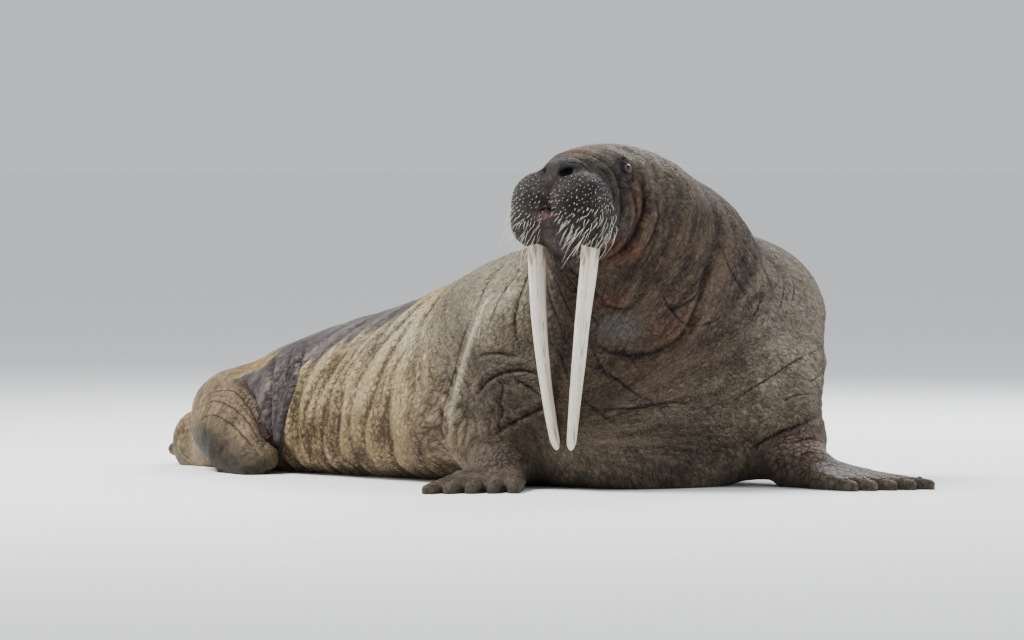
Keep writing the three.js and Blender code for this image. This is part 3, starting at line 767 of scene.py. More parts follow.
CREASES: tuple[Crease, ...] = (
    # round the eye and the muzzle
    *alike("brow fold", (.005, .005, .004), (596, 149, 610, 152, 620, 157, 629, 164, 633, 173, 631, 183),
           twin=Twin.HEAD),
    *alike("muzzle ring", (.005, .007, .002),
           (566, 152, 582, 153, 598, 158, 611, 168, 618, 181, 621, 199, 620, 218, 614, 237), twin=Twin.HEAD),
    *alike("inner ring", (.0025, .005, .001), (580, 160, 594, 164, 605, 174, 612, 188, 614, 204, 613, 222),
           twin=Twin.HEAD),
    *alike("lower lid fold", (.003, .003, .002), (616, 176, 621, 181, 628, 182, 634, 178), twin=Twin.HEAD),
    *alike("under-eye fold", (.003, .004, .002), (613, 180, 619, 187, 628, 189, 636, 184), twin=Twin.HEAD),
    *alike("cheek ring", (.004, .008, .002), (627, 186, 634, 199, 635, 217, 628, 239, 617, 255),
           twin=Twin.HEAD),
    *alike("cheek valley", (.01, .009, .006),
           (638, 177, 644, 193, 643, 212, 636, 231, 627, 246, 612, 257, 599, 263), twin=Twin.HEAD),
    *alike("nape ring", (.003, .006, .002), (654, 196, 658, 212, 655, 229, 646, 248, 634, 264),
           twin=Twin.HEAD),
    *alike("crown fold", (.004, .005, .002), (621, 147, 628, 149, 636, 153, 645, 160), twin=Twin.HEAD),
    *alike("nose wrinkle", (.003, .004, .001), (562, 157, 575, 158, 586, 163, 594, 171), twin=Twin.HEAD),
    *alike("nose wrinkle", (.003, .003, .001), (568, 163, 578, 164, 588, 170, 594, 178), twin=Twin.HEAD),
    *alike("mouth", (.008, .003, .002), (538, 213, 541, 210, 546, 208.5, 551, 209, 555, 211, 557, 215)),
    *alike("chin edge", (.009, .008, .003), (544, 250, 553, 255, 566, 257, 579, 258)),
    # folds that fan out from under the chin
    *alike("throat fold", (.007, .006, .003), (544, 254, 552, 275, 564, 300, 577, 327),
           (552, 259, 569, 280, 586, 307, 601, 329), (543, 266, 550, 300, 560, 327, 570, 351),
           (538, 268, 534, 300, 535, 329, 543, 356, 550, 375)),
    *alike("throat fold", (.006, .006, .003), (562, 261, 584, 283, 606, 302)),
    *alike("throat fold", (.008, .006, .004), (533, 256, 526, 280, 517, 305, 515, 329, 521, 351),
           (528, 251, 516, 275, 503, 293, 493, 312, 486, 334)),
    *alike("throat fold", (.007, .006, .004), (518, 252, 504, 264, 492, 277, 482, 294, 474, 318)),
    # chest and armpit
    *alike("neck crescent", (.012, .01, .008),
           (587, 334, 606, 350, 635, 355, 664, 348, 681, 336, 692, 317, 703, 286, 709, 262)),
    *alike("chest crease", (.006, .006, .003), (584, 365, 601, 370, 618, 380, 632, 391, 646, 400)),
    *alike("chest crease", (.007, .007, .004),
           (600, 412, 611, 409, 635, 408, 659, 404, 679, 402, 697, 410)),
    *alike("armpit crease", (.009, .006, .004), (476, 358, 484, 354, 495, 353, 507, 354, 520, 357),
           (511, 377, 521, 382, 533, 390, 544, 399)),
    *alike("armpit crease", (.012, .007, .006),
           (474, 398, 482, 386, 495, 375, 514, 370, 530, 371, 542, 378)),
    *alike("armpit crease", (.009, .007, .004), (493, 437, 503, 428, 519, 419, 541, 408, 553, 402)),
    *alike("armpit crease", (.006, .006, .003), (497, 376, 503, 388, 500, 402, 505, 412),
           (495, 399, 502, 411, 499, 428)),
    *alike("chest line", (.005, .005, .002), (587, 336, 596, 356, 606, 374, 613, 381),
           (545, 330, 553, 345, 561, 358, 568, 376, 573, 392), (582, 399, 592, 407, 601, 414, 616, 425)),
    *alike("chest line", (.004, .005, .002), (618, 340, 632, 361, 641, 372),
           (640, 395, 655, 404, 668, 420)),
    *alike("collar line", (.007, .006, .003),
           (708, 262, 703, 278, 697, 293, 686, 303, 674, 308, 660, 305)),
    *alike("collar line", (.005, .005, .002), (660, 291, 666, 301, 674, 314, 688, 330)),
    *alike("collar line", (.004, .005, .002), (691, 327, 702, 325, 713, 322, 724, 316)),
    *alike("collar line", (.005, .006, .002), (596, 300, 608, 306, 622, 309, 638, 305)),
    # shoulder and wrist
    *alike("shoulder line", (.004, .005, .002), (783, 274, 784, 290, 781, 304, 776, 316),
           (728, 232, 738, 250, 749, 270, 757, 288), (716, 240, 726, 262, 739, 284, 751, 306),
           (741, 238, 753, 254, 766, 276, 776, 296)),
    *alike("shoulder line", (.006, .005, .003), (760, 262, 762, 285, 760, 303, 754, 316, 748, 326),
           (722, 406, 737, 399, 751, 389, 766, 380, 790, 364, 806, 355, 823, 348)),
    *alike("shoulder line", (.005, .004, .003), (780, 403, 791, 397, 802, 394, 824, 395)),
    *alike("shoulder line", (.004, .004, .002), (808, 383, 816, 378, 825, 372)),
    *alike("shoulder line", (.003, .004, .002), (792, 276, 794, 292, 790, 306)),
    *alike("wrist crease", (.012, .008, .008),
           (749, 452, 762, 443, 778, 433, 790, 428, 803, 422, 820, 416)),
    *alike("wrist fold", (.008, .006, .005), (790, 443, 803, 439, 812, 438, 823, 442)),
    *alike("wrist fold", (.006, .005, .004), (797, 457, 808, 452, 823, 454)),
    # flank, hips and hind flipper
    *alike("flank ridge", (-.009, .013, 0),
           (491, 292, 480, 318, 470, 347, 463, 373, 456, 396, 451, 415, 450, 434), twin=Twin.TRUNK),
    *alike("flank fold", (.005, .006, .003),
           (483, 294, 470, 320, 460, 347, 454, 373, 447, 396, 442, 416, 441, 436), twin=Twin.TRUNK),
    *alike("hip fold", (.012, .012, .007), (274, 353, 272, 370, 271, 388, 270, 414, 273, 442, 278, 458),
           twin=Twin.TRUNK),
    *alike("hip fold", (.012, .01, .007), (304, 343, 302, 358, 298, 378, 290, 401, 284, 422, 281, 452),
           twin=Twin.TRUNK),
    *alike("hip fold", (.008, .007, .004), (331, 335, 318, 348, 303, 368, 294, 384), twin=Twin.TRUNK),
    *alike("hip fold", (.007, .006, .004), (312, 344, 298, 360, 289, 372, 282, 386), twin=Twin.TRUNK),
    *alike("hip fold", (.006, .006, .003), (292, 350, 288, 364, 284, 380), twin=Twin.TRUNK),
    *alike("back fold", (.005, .007, .003), (366, 321, 348, 332, 332, 344), twin=Twin.TRUNK),
    *alike("thigh crease", (.014, .013, .006),
           (232, 377, 243, 387, 252, 399, 259, 415, 263, 431, 275, 450, 288, 466), twin=Twin.TRUNK),
    *alike("flipper fold", (.004, .004, .003),
           (204, 399, 218, 391, 236, 393, 251, 411, 262, 434, 276, 456),
           (198, 408, 215, 401, 233, 408, 249, 424, 261, 444, 277, 465),
           (194, 424, 212, 415, 231, 424, 247, 440, 261, 458), twin=Twin.TRUNK),
)

PATCHES: tuple[Patch, ...] = (
    Patch("olive forehead", (600, 150), (.1, .07), (.03, .022, .014), (.145, .116, .08), .8),
    Patch("olive crown", (645, 165), (.13, .07), (.03, .022, .014), (.15, .12, .084), .85),
    Patch("grey neck top", (690, 185), (.1, .07), (.034, .026, .017), (.18, .148, .108), .7),
    Patch("rust on the nose", (575, 151), (.035, .014), (.04, .018, .011), (.15, .082, .055), .8, Twin.HEAD),
    Patch("dark nose", (556, 167), (.06, .022), (.003, .003, .003), (.026, .024, .024), .95),
    Patch("nostril side", (580, 168), (.045, .02), (.004, .004, .004), (.038, .034, .035), .9, Twin.HEAD),
    Patch("nostril shadow", (572, 168), (.026, .01), (.001, .001, .001), (.004, .004, .004), 1, Twin.HEAD),
    Patch("pale chin rim", (560, 246), (.05, .02), (.014, .012, .01), (.115, .1, .084), .6),
    Patch("lip groove", (549, 192), (.028, .05), (.01, .006, .006), (.066, .042, .042), .95),
    Patch("dark cheek", (606, 205), (.06, .1), (.008, .006, .006), (.056, .046, .042), .9, Twin.HEAD),
    Patch("dark eye ring", (624, 171), (.034, .036), (.004, .003, .003), (.034, .027, .024), 1, Twin.HEAD),
    Patch("grey cheek ring", (621, 205), (.016, .07), (.022, .018, .016), (.11, .096, .086), .6, Twin.HEAD),
    Patch("rust behind the cheek", (639, 203), (.026, .075), (.018, .009, .005), (.105, .054, .031), .85,
          Twin.HEAD),
    Patch("rust under the cheek", (622, 250), (.06, .04), (.018, .008, .005), (.115, .052, .029), .9,
          Twin.HEAD),
    Patch("rust at the collar", (608, 302), (.045, .024), (.026, .011, .007), (.15, .076, .048), .75),
    Patch("rust in the crescent", (668, 334), (.055, .035), (.026, .011, .006), (.155, .086, .054), .75),
    # Painted sheen: a bluish-grey reflection on the smooth skin under the collar.
    Patch("sheen under the collar", (618, 328), (.055, .032), (.028, .026, .027), (.15, .144, .143), .65),
    Patch("grey armpit", (510, 400), (.13, .12), (.018, .013, .008), (.165, .135, .096), .85),
    Patch("brown armpit", (520, 425), (.11, .07), (.014, .008, .005), (.105, .072, .046), .8),
    # Reddish skin with painted shade of the fold it lies in.
    Patch("red streak in fold shade", (416, 447), (.026, .085), (.022, .012, .015), (.105, .066, .072), .85),
    Patch("red streak in fold shade", (438, 440), (.016, .08), (.024, .013, .014), (.13, .085, .08), .7),
    Patch("pink wrist", (808, 446), (.06, .035), (.07, .04, .028), (.34, .25, .205), .8),
    Patch("dark chest foot", (690, 445), (.14, .055), (.01, .007, .005), (.09, .066, .044), .8),
    Patch("orange rump", (256, 361), (.07, .026), (.14, .072, .028), (.47, .305, .15), .95, Twin.TRUNK),
    Patch("dark hind sole", (206, 445), (.08, .058), (.002, .002, .002), (.019, .015, .013), 1, Twin.TRUNK),
    Patch("dark hind sole", (240, 463), (.105, .046), (.002, .002, .002), (.02, .016, .013), 1, Twin.TRUNK),
    # Painted shade in the valley of the thigh crease.
    Patch("shade in the thigh valley", (263, 420), (.018, .062), (.003, .002, .002), (.03, .021, .018), .9, Twin.TRUNK),
    Patch("grey hip", (262, 400), (.03, .07), (.016, .012, .012), (.12, .098, .094), .8, Twin.TRUNK),
    Patch("pale shoulder", (800, 320), (.12, .19), (.06, .047, .032), (.39, .335, .262), .75),
    Patch("pale neck side", (490, 285), (.12, .12), (.07, .056, .034), (.48, .43, .32), .85),
    Patch("pale back", (400, 330), (.17, .06), (.07, .054, .031), (.52, .455, .32), .7),
    Patch("brown flank foot", (345, 440), (.28, .075), (.036, .02, .008), (.33, .228, .11), .8),
)


@dataclass
class Paint:
    """The darkest and lightest tone at each point of the skin."""

    dark: Array
    light: Array

    def lay(self, weight: Array, dark: Colour, light: Colour) -> None:
        """Lays a pair of tones over part of the skin.

        Args:
            weight: How much of it shows at each point, from 0 to 1.
            dark: The darkest tone.
            light: The lightest tone.
        """
        w = weight[:, None]
        self.dark = self.dark * (1 - w) + np.asarray(dark) * w
        self.light = self.light * (1 - w) + np.asarray(light) * w

    def keep(self, mesh: Mesh) -> None:
        """Stores the tones as the mesh's shade and tint."""
        for name, tone in (("shade", self.dark), ("tint", self.light)):
            store(mesh, name, np.column_stack([tone, np.ones(len(tone))]))


# The mesh of the skin


@dataclass
class SkinMesher:
    """Turns a form into one closed mesh, finer where it is asked to be."""

    form: Form
    cell: float = .01
    floor_margin: float = .02
    coarse: int = 4

    def _grid(self) -> tuple[Array, Array]:
        """Works out distances on a fine grid, exact near the skin.

        Returns:
            The distances, and the grid's lowest corner.
        """
        low = np.array([*self.form.low[:2], 0]) - self.floor_margin
        step = self.cell * self.coarse
        count = np.ceil((self.form.high + self.floor_margin - low) / step).astype(int) + 1
        middle = (self.coarse - 1) / (2 * self.coarse)
        axes = [low[i] + step * (np.arange(count[i]) + middle) for i in range(3)]
        places = np.stack(np.meshgrid(*axes, indexing="ij"), -1).reshape(-1, 3)
        fine = self.form.distance(places).reshape(count)
        for axis in range(3):
            fine = np.repeat(fine, self.coarse, axis=axis)
        near = np.argwhere(np.abs(fine) < step * 1.6)
        fine[tuple(near.T)] = self.form.distance(low + near * self.cell)
        fine[:, :, 0] = np.maximum(fine[:, :, 0], self.cell)
        return fine.astype(np.float32), low

    def surface(self) -> Mesh:
        """Meshes the skin, cut level with the floor.

        Returns:
            The mesh, open at the floor.
        """
        distances, low = self._grid()
        grid = openvdb.FloatGrid()
        grid.copyFromArray(distances)
        points, quads = grid.convertToQuads(isovalue=0)
        mesh = bpy.data.meshes.new("hide")
        mesh.from_pydata((points * self.cell + low).tolist(), [], quads[:, ::-1].tolist())
        mesh.update()
        with edited(mesh) as bm:
            bmesh.ops.bisect_plane(bm, geom=bm.verts[:] + bm.edges[:] + bm.faces[:], dist=1e-5,
                                   plane_co=(0, 0, 0), plane_no=(0, 0, 1), clear_inner=True)
        return mesh

    @staticmethod
    def refine(mesh: Mesh, chosen: Callable[[Array], Array]) -> None:
        """Splits each face in four whose middle is chosen.

        Args:
            mesh: The mesh, which is changed.
            chosen: Gives True for the middles of the faces to split.
        """
        with edited(mesh) as bm:
            middles = np.array([face.calc_center_median() for face in bm.faces])
            faces = [face for face, pick in zip(bm.faces, chosen(middles)) if pick]
            edges = list({edge for face in faces for edge in face.edges})
            bmesh.ops.subdivide_edges(bm, edges=edges, cuts=1, use_grid_fill=True)
            bmesh.ops.triangulate(bm, faces=[face for face in bm.faces if len(face.verts) > 4])

    def relax(self, mesh: Mesh, rounds: int = 3) -> None:
        """Spreads the vertices evenly and sets them on the form's skin.

        Args:
            mesh: The mesh, which is changed.
            rounds: How often each vertex moves halfway to its neighbours' middle.
        """
        points = points_of(mesh)
        edges = np.zeros(len(mesh.edges) * 2, int)
        mesh.edges.foreach_get("vertices", edges)
        a, b = edges.reshape(-1, 2).T
        uses = np.bincount(a, minlength=len(points)) + np.bincount(b, minlength=len(points))
        rim = points[:, 2] < 1e-4
        for _ in range(rounds):
            sums = [np.bincount(a, value[b], len(points)) + np.bincount(b, value[a], len(points))
                    for value in points.T]
            moved = .5 * points + .5 * np.stack(sums, axis=1) / uses[:, None]
            points = np.where(rim[:, None], points, moved)
        settled = self.form.settle(points)
        far = np.linalg.norm(settled - points, axis=1) > self.cell
        points = np.where((rim | far)[:, None], points, settled)
        points[:, 2] = np.maximum(points[:, 2], 0)
        mesh.vertices.foreach_set("co", points.ravel())
        mesh.update()

    @staticmethod
    def close_floor(mesh: Mesh) -> None:
        """Fills the openings at the floor with flat faces, and makes every face a triangle."""
        with edited(mesh) as bm:
            bmesh.ops.holes_fill(bm, edges=[edge for edge in bm.edges if edge.is_boundary], sides=0)
            bmesh.ops.triangulate(bm, faces=bm.faces[:])
            bmesh.ops.recalc_face_normals(bm, faces=bm.faces[:])


@contextmanager
def edited(mesh: Mesh) -> Iterator[bmesh.types.BMesh]:
    """The mesh opened for edits, which are written back at the end.

    Args:
        mesh: The mesh.

    Returns:
        The opened mesh, as a context.
    """
    bm = bmesh.new()
    bm.from_mesh(mesh)
    yield bm
    bm.to_mesh(mesh)
    bm.free()


def rays_on(mesh: Mesh, points: Array) -> BVHTree:
    """The mesh's faces at the given points, ready for rays."""
    return BVHTree.FromPolygons(points.tolist(), [tuple(face.vertices) for face in mesh.polygons])


def points_of(mesh: Mesh) -> Array:
    """The mesh's vertices."""
    points = np.zeros(len(mesh.vertices) * 3)
    mesh.vertices.foreach_get("co", points)
    return points.reshape(-1, 3)


def store(mesh: Mesh, name: str, values: Array) -> None:
    """Keeps a number, a vector or a colour for each vertex.

    Args:
        mesh: The mesh.
        name: The attribute's name.
        values: One row for each vertex: one number, three for a vector, four for a colour.
    """
    kinds = {1: ("FLOAT", "value"), 3: ("FLOAT_VECTOR", "vector"), 4: ("FLOAT_COLOR", "color")}
    kind, key = kinds[1 if values.ndim == 1 else values.shape[1]]
    attribute = mesh.attributes.new(name, kind, "POINT")
    attribute.data.foreach_set(key, np.ascontiguousarray(values, dtype=np.float32).ravel())


def finish_piece(mesh: Mesh, name: str, nodes: Sequence[str] = ()) -> Thing:
    """Makes a finished piece of a mesh.

    Args:
        mesh: The piece's mesh, in the row frame, with its material.
        name: The piece's name.
        slot: The record's material slot.
        nodes: The frame's nodes that it stands for.

    Returns:
        The object.
    """
    mesh.name = name
    piece = bpy.data.objects.new(name, mesh)
    bpy.context.scene.collection.objects.link(piece)
    mesh.polygons.foreach_set("use_smooth", np.ones(len(mesh.polygons), bool))
    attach(piece, "root")
    if nodes:
        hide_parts(*nodes)
    log.info("%s: %d faces", name, len(mesh.polygons))
    return piece


# Shaders


Number = "Signal | float"
Input = "Signal | Socket | float | tuple"


def operator(operation: str, meaning: str) -> Callable[..., "Signal"]:
    """Makes an operator of Signal.

    Args:
        operation: The Math node's operation.
        meaning: The operator's docstring.

    Returns:
        The method.
    """

    def method(self: "Signal", *others: Number) -> "Signal":
        """Adds the Math node."""
        return self.tree.math(operation, self, *others)

    method.__doc__ = meaning
    return method


class Signal:
    """A number in a node tree that arithmetic can be written with."""

    def __init__(self, tree: "Tree", socket: Socket) -> None:
        """Wraps a socket of a tree."""
        self.tree = tree
        self.socket = socket

    __add__ = __radd__ = operator("ADD", "Sum.")
    __sub__ = operator("SUBTRACT", "Difference.")
    __mul__ = __rmul__ = operator("MULTIPLY", "Product.")
    __pow__ = operator("POWER", "Power.")
    __abs__ = operator("ABSOLUTE", "Size without sign.")

    def __rsub__(self, other: float) -> "Signal":
        """Difference from a number."""
        return self.tree.math("SUBTRACT", other, self)

    def clipped(self) -> "Signal":
        """Kept between 0 and 1."""
        return self.tree.math("MINIMUM", self.tree.math("MAXIMUM", self, 0), 1)

    def eased(self, low: Number, high: Number) -> "Signal":
        """Eased from 0 at low to 1 at high."""
        node = self.tree.node("ShaderNodeMapRange", {"interpolation_type": "SMOOTHSTEP"},
                              {"Value": self, "From Min": low, "From Max": high})
        return Signal(self.tree, node.outputs[0])


class Tree:
    """A tree of nodes, most of them of one family."""

    FAMILY = "ShaderNode"

    def __init__(self, tree: bpy.types.NodeTree) -> None:
        """Takes over a tree and empties it."""
        self.tree = tree
        self.tree.nodes.clear()

    def node(self, kind: str, settings: dict | None = None, inputs: dict | None = None) -> bpy.types.Node:
        """Adds a node.

        Args:
            kind: The node's type.
            settings: Its own settings, set first.
            inputs: Values or links of its sockets, by name or number.

        Returns:
            The node.
        """
        node = self.tree.nodes.new(kind)
        for key, value in (settings or {}).items():
            setattr(node, key, value)
        for key, value in (inputs or {}).items():
            socket = node.inputs[key]
            value = value.socket if isinstance(value, Signal) else value
            if isinstance(value, Socket):
                self.tree.links.new(value, socket)
            elif isinstance(value, tuple) and len(value) == 3 and socket.type == "RGBA":
                socket.default_value = (*value, 1)
            else:
                socket.default_value = value
        return node

    def made(self, kind: str, settings: dict | None = None, **inputs: Input) -> Socket:
        """Adds a node of the tree's family.

        Args:
            kind: The node's type, without the family's name.
            settings: Its own settings.
            inputs: Values or links of its sockets, with underscores for spaces.

        Returns:
            Its first output.
        """
        named = {key.replace("_", " "): value for key, value in inputs.items()}
        return self.node(self.FAMILY + kind, settings, named).outputs[0]

    def math(self, operation: str, *values: Number) -> Signal:
        """A Math node."""
        node = self.node("ShaderNodeMath", {"operation": operation}, dict(enumerate(values)))
        return Signal(self, node.outputs[0])

    def vector(self, operation: str, *values: Input, **named: Input) -> Socket:
        """A Vector Math node's vector."""
        inputs = {**dict(enumerate(values)), **named}
        return self.node("ShaderNodeVectorMath", {"operation": operation}, inputs).outputs[0]


class Graph(Tree):
    """A material's tree of shader nodes."""

    def __init__(self, name: str) -> None:
        """Starts a material with an empty tree."""
        self.material = bpy.data.materials.new(name)
        self.material.use_nodes = True
        super().__init__(self.material.node_tree)

    def attribute(self, name: str, output: str = "Vector") -> Socket:
        """Reads an attribute of the mesh."""
        return self.node("ShaderNodeAttribute", {"attribute_name": name}).outputs[output]

    def scaled(self, place: Input, *factors: float) -> Socket:
        """A place stretched along its three axes."""
        return self.vector("MULTIPLY", place, factors)

    def noise(self, place: Input, scale: float = 1, detail: float = 2, rough: float = .5) -> Signal:
        """Smooth noise from 0 to 1."""
        return Signal(self, self.made("TexNoise", Vector=place, Scale=scale, Detail=detail, Roughness=rough))

    def parts(self, vector: Input) -> tuple[Signal, Signal, Signal]:
        """The three numbers of a vector."""
        node = self.node("ShaderNodeSeparateXYZ", None, {0: vector})
        return tuple(Signal(self, part) for part in node.outputs)

    def shaken(self, place: Input, scale: float, reach: float) -> Socket:
        """Pushes places about by noise, so that nothing laid out on them runs straight.

        Args:
            place: The places.
            scale: Scale of the noise.
            reach: How far they are pushed.

        Returns:
            The new places.
        """
        node = self.node("ShaderNodeTexNoise", None, {"Vector": place, "Scale": scale})
        push = self.vector("SUBTRACT", node.outputs["Color"], (.5, .5, .5))
        return self.vector("ADD", place, self.scaled(push, reach, reach, reach))

    def billow(self, place: Input, scale: float = 1, detail: float = 1) -> Signal:
        """Rounded crests with sharp valleys, from 0 to about 1."""
        return (abs(self.noise(place, scale, detail) - .5) * 4).clipped()

    def cells(self, place: Input, scale: float) -> Signal:
        """Distance to the border of a cell."""
        border = self.made("TexVoronoi", {"feature": "DISTANCE_TO_EDGE"}, Vector=place, Scale=scale)
        return Signal(self, border)

    def mix(self, share: Number, a: Input, b: Input, how: str = "MIX") -> Socket:
        """A mix of two colours."""
        node = self.node("ShaderNodeMix", {"data_type": "RGBA", "blend_type": how}, {0: share, 6: a, 7: b})
        return node.outputs[2]

    def bump(self, height: Signal, depth: float) -> Socket:
        """A Bump node's normal, for a height of the given depth in metres."""
        return self.made("Bump", Strength=1, Distance=depth, Height=height)

    def surface(self, **inputs: Input) -> Material:
        """Ends the tree in a Principled BSDF whose sockets are given with underscores for spaces."""
        self.node("ShaderNodeOutputMaterial", None, {"Surface": self.made("BsdfPrincipled", **inputs)})
        return self.material


@dataclass(frozen=True)
class HideFinish:
    """Wrinkled, short-haired hide. Its tones and folds come with the skin's attributes."""

    slate_dark: Colour = (.018, .012, .011)
    slate_light: Colour = (.14, .11, .106)
    line_length: float = .085
    line_width: float = .012
    crack_width: float = .95
    crack_wobble: float = .011
    cell_scale: float = 50
    relief: float = .0022

    def material(self) -> Material:
        """Sets up the hide's shader.

        Returns:
            The material.
        """
        g = Graph("hide")
        straight = g.attribute("straight")
        fold, hollow, bare = g.parts(g.attribute("relief"))
        gap, strength, width = g.parts(g.attribute("crack"))
        lines_share, cells_share, hair_share = g.parts(g.attribute("wrinkle"))
        warped = g.shaken(g.shaken(straight, 13, .034), 60, .006)

        across, along = 1 / self.line_length, 1 / self.line_width
        lines = g.billow(g.scaled(warped, along, across, across), 1, 2)
        cells = (g.cells(warped, self.cell_scale) * 3.6).clipped() ** .6
        warts = g.billow(warped, 78, 3)
        turned, other = (g.made("Mapping", Vector=warped, Rotation=(0, turn, turn)) for turn in (.75, -.75))
        hatch = g.billow(g.scaled(turned, 130, 24, 24), 1, 2)
        hatch = hatch * .75 + g.billow(g.scaled(other, 150, 34, 34), 1, 2) * .25
        grain = g.noise(g.scaled(turned, 90, 420, 420), 1, 3, .7)
        pores = g.noise(straight, 300, 3, .7)
        patchy = g.noise(warped, 8, 5, .65)

        wobble = (g.noise(straight, 42, 4, .65) - .5) * self.crack_wobble
        line = 1 - abs(gap + wobble).eased(0, width * self.crack_width)
        crack = (line * (strength * 1.3).clipped() * (patchy * 1.6 + .2).clipped()).clipped()
        # Painted highlight: ridges are made lighter along their line.
        ridge_highlight = (1 - abs(gap + wobble).eased(0, width * 1.2)) * (strength * -1).clipped()

        # Tone level: lighter on fold crests and wrinkle bumps and darker in their valleys as painted light,
        # plus random tone from pores and patches.
        level = ((fold - FOLD_MIDDLE) * .95 + (lines - .35) * lines_share * .5
                 + (cells - .8) * cells_share * .65 + (warts - .35) * cells_share * .55
                 + (hatch - .35) * .55 + (grain - .5) * hair_share * 1.3
                 + (pores - .5) * .5 + (patchy - .5) * 1.1 + ridge_highlight * 1.1 + .42).clipped()
        colour = g.mix(level, g.attribute("shade", "Color"), g.attribute("tint", "Color"))
        slate = g.mix(((level - .5) * .8 + .45).clipped(), self.slate_dark, self.slate_light)
        ragged = (bare + (g.noise(warped, 44, 4, .7) - .5) * 1.1 - (fold - FOLD_MIDDLE) * .3).eased(.4, .58)
        flecks = g.noise(g.scaled(warped, 1, .5, .5), 62, 3, .7).eased(.6, .68)
        fringe = (1 - abs(bare - .6) * 2.4).clipped()
        bare_skin = ragged * (1 - flecks * fringe * .8)
        colour = g.mix(bare_skin, colour, slate)
        dark = g.mix(1, colour, (.13, .1, .09), "MULTIPLY")
        shadow = (crack * .92 + hollow * .9 + (1 - cells) * cells_share * .42).clipped()
        colour = g.mix(shadow, colour, dark)

        height = (lines * lines_share * .7 + cells * cells_share * .7 + warts * cells_share * .8 + hatch * .45
                  + grain * hair_share * .35 + pores * .16)
        height = height * (1 - bare_skin * .75) - crack * 1.5
        rough = .74 - bare_skin * .3 - (1 - hair_share) * .1
        return g.surface(Base_Color=colour, Roughness=rough, Normal=g.bump(height, self.relief),
                         Sheen_Weight=.03, Sheen_Roughness=.5, Specular_IOR_Level=.2)


@dataclass(frozen=True)
class EyeFinish:
    """A wet dark eye. The attribute gaze is the angle from its axis, in radians."""

    pupil: float = .26
    iris: float = .62

    def material(self) -> Material:
        """Sets up the eye's shader.

        Returns:
            The material.
        """
        g = Graph("eye")
        gaze = Signal(g, g.attribute("gaze", "Fac"))
        streaks = g.noise(g.attribute("ray"), 9, 3)
        brown = g.mix(streaks, (.016, .012, .013), (.085, .066, .074))
        colour = g.mix(gaze.eased(self.pupil - .03, self.pupil + .03), (.004, .004, .005), brown)
        veins = g.mix(g.noise(g.attribute("ray"), 26, 4), (.012, .006, .006), (.05, .026, .024))
        colour = g.mix(gaze.eased(self.iris - .05, self.iris + .05), colour, veins)
        return g.surface(Base_Color=colour, Roughness=.35, Specular_IOR_Level=.1,
                         Coat_Weight=.4, Coat_Roughness=.12, Coat_IOR=1.3)


@dataclass(frozen=True)
class IvoryFinish:
    """Old ivory with long cracks. The attribute tusk is a place in the straight tusk."""

    pale: Colour = (.74, .69, .58)
    yellow: Colour = (.52, .37, .17)
    crack: Colour = (.2, .15, .1)

    def material(self) -> Material:
        """Sets up the tusks' shader.

        Returns:
            The material.
        """
        g = Graph("ivory")
        place = g.attribute("tusk")
        long = g.scaled(place, 1, 1, .035)
        streaks = g.noise(long, 160, 4, .6)
        stains = g.noise(g.scaled(place, 1, 1, .3), 24, 4, .6)
        height = g.parts(place)[2]
        low = 1 - height.eased(.05, .4)
        root = height.eased(.5, .58)
        colour = g.mix((streaks.eased(.35, .75) * .45 + .1).clipped(), self.pale, (.5, .46, .38))
        yellowing = (stains.eased(.45, .72) * (low * .75 + .18) + root * .75).clipped()
        colour = g.mix(yellowing, colour, self.yellow)
        wander = g.node("ShaderNodeTexNoise", None, {"Vector": place, "Scale": 30}).outputs["Color"]
        cells = g.cells(g.vector("ADD", long, g.scaled(wander, .004, .004, 0)), 62)
        cracks = 1 - cells.eased(.015, .07)
        broken = g.noise(place, 17, 2).eased(.4, .56)
        colour = g.mix(cracks * broken * .85, colour, self.crack)
        ridges = streaks * .5 - cracks * broken * .8 + g.noise(place, 90, 3) * .25
        return g.surface(Base_Color=colour, Roughness=.36 + stains * .2, Normal=g.bump(ridges, .0007),
                         Subsurface_Weight=.08, Subsurface_Scale=.01, Coat_Weight=.15)


@dataclass(frozen=True)
class HornFinish:
    """Horn of bristles and claws."""

    name: str
    root: Colour
    tip: Colour
    rough: float = .4

    def material(self) -> Material:
        """The horn's material."""
        g = Graph(self.name)
        place = g.node("ShaderNodeTexCoord").outputs["Object"]
        colour = g.mix(g.noise(place, 70, 3).eased(.3, .7), self.root, self.tip)
        return g.surface(Base_Color=colour, Roughness=self.rough)


# The whole animal


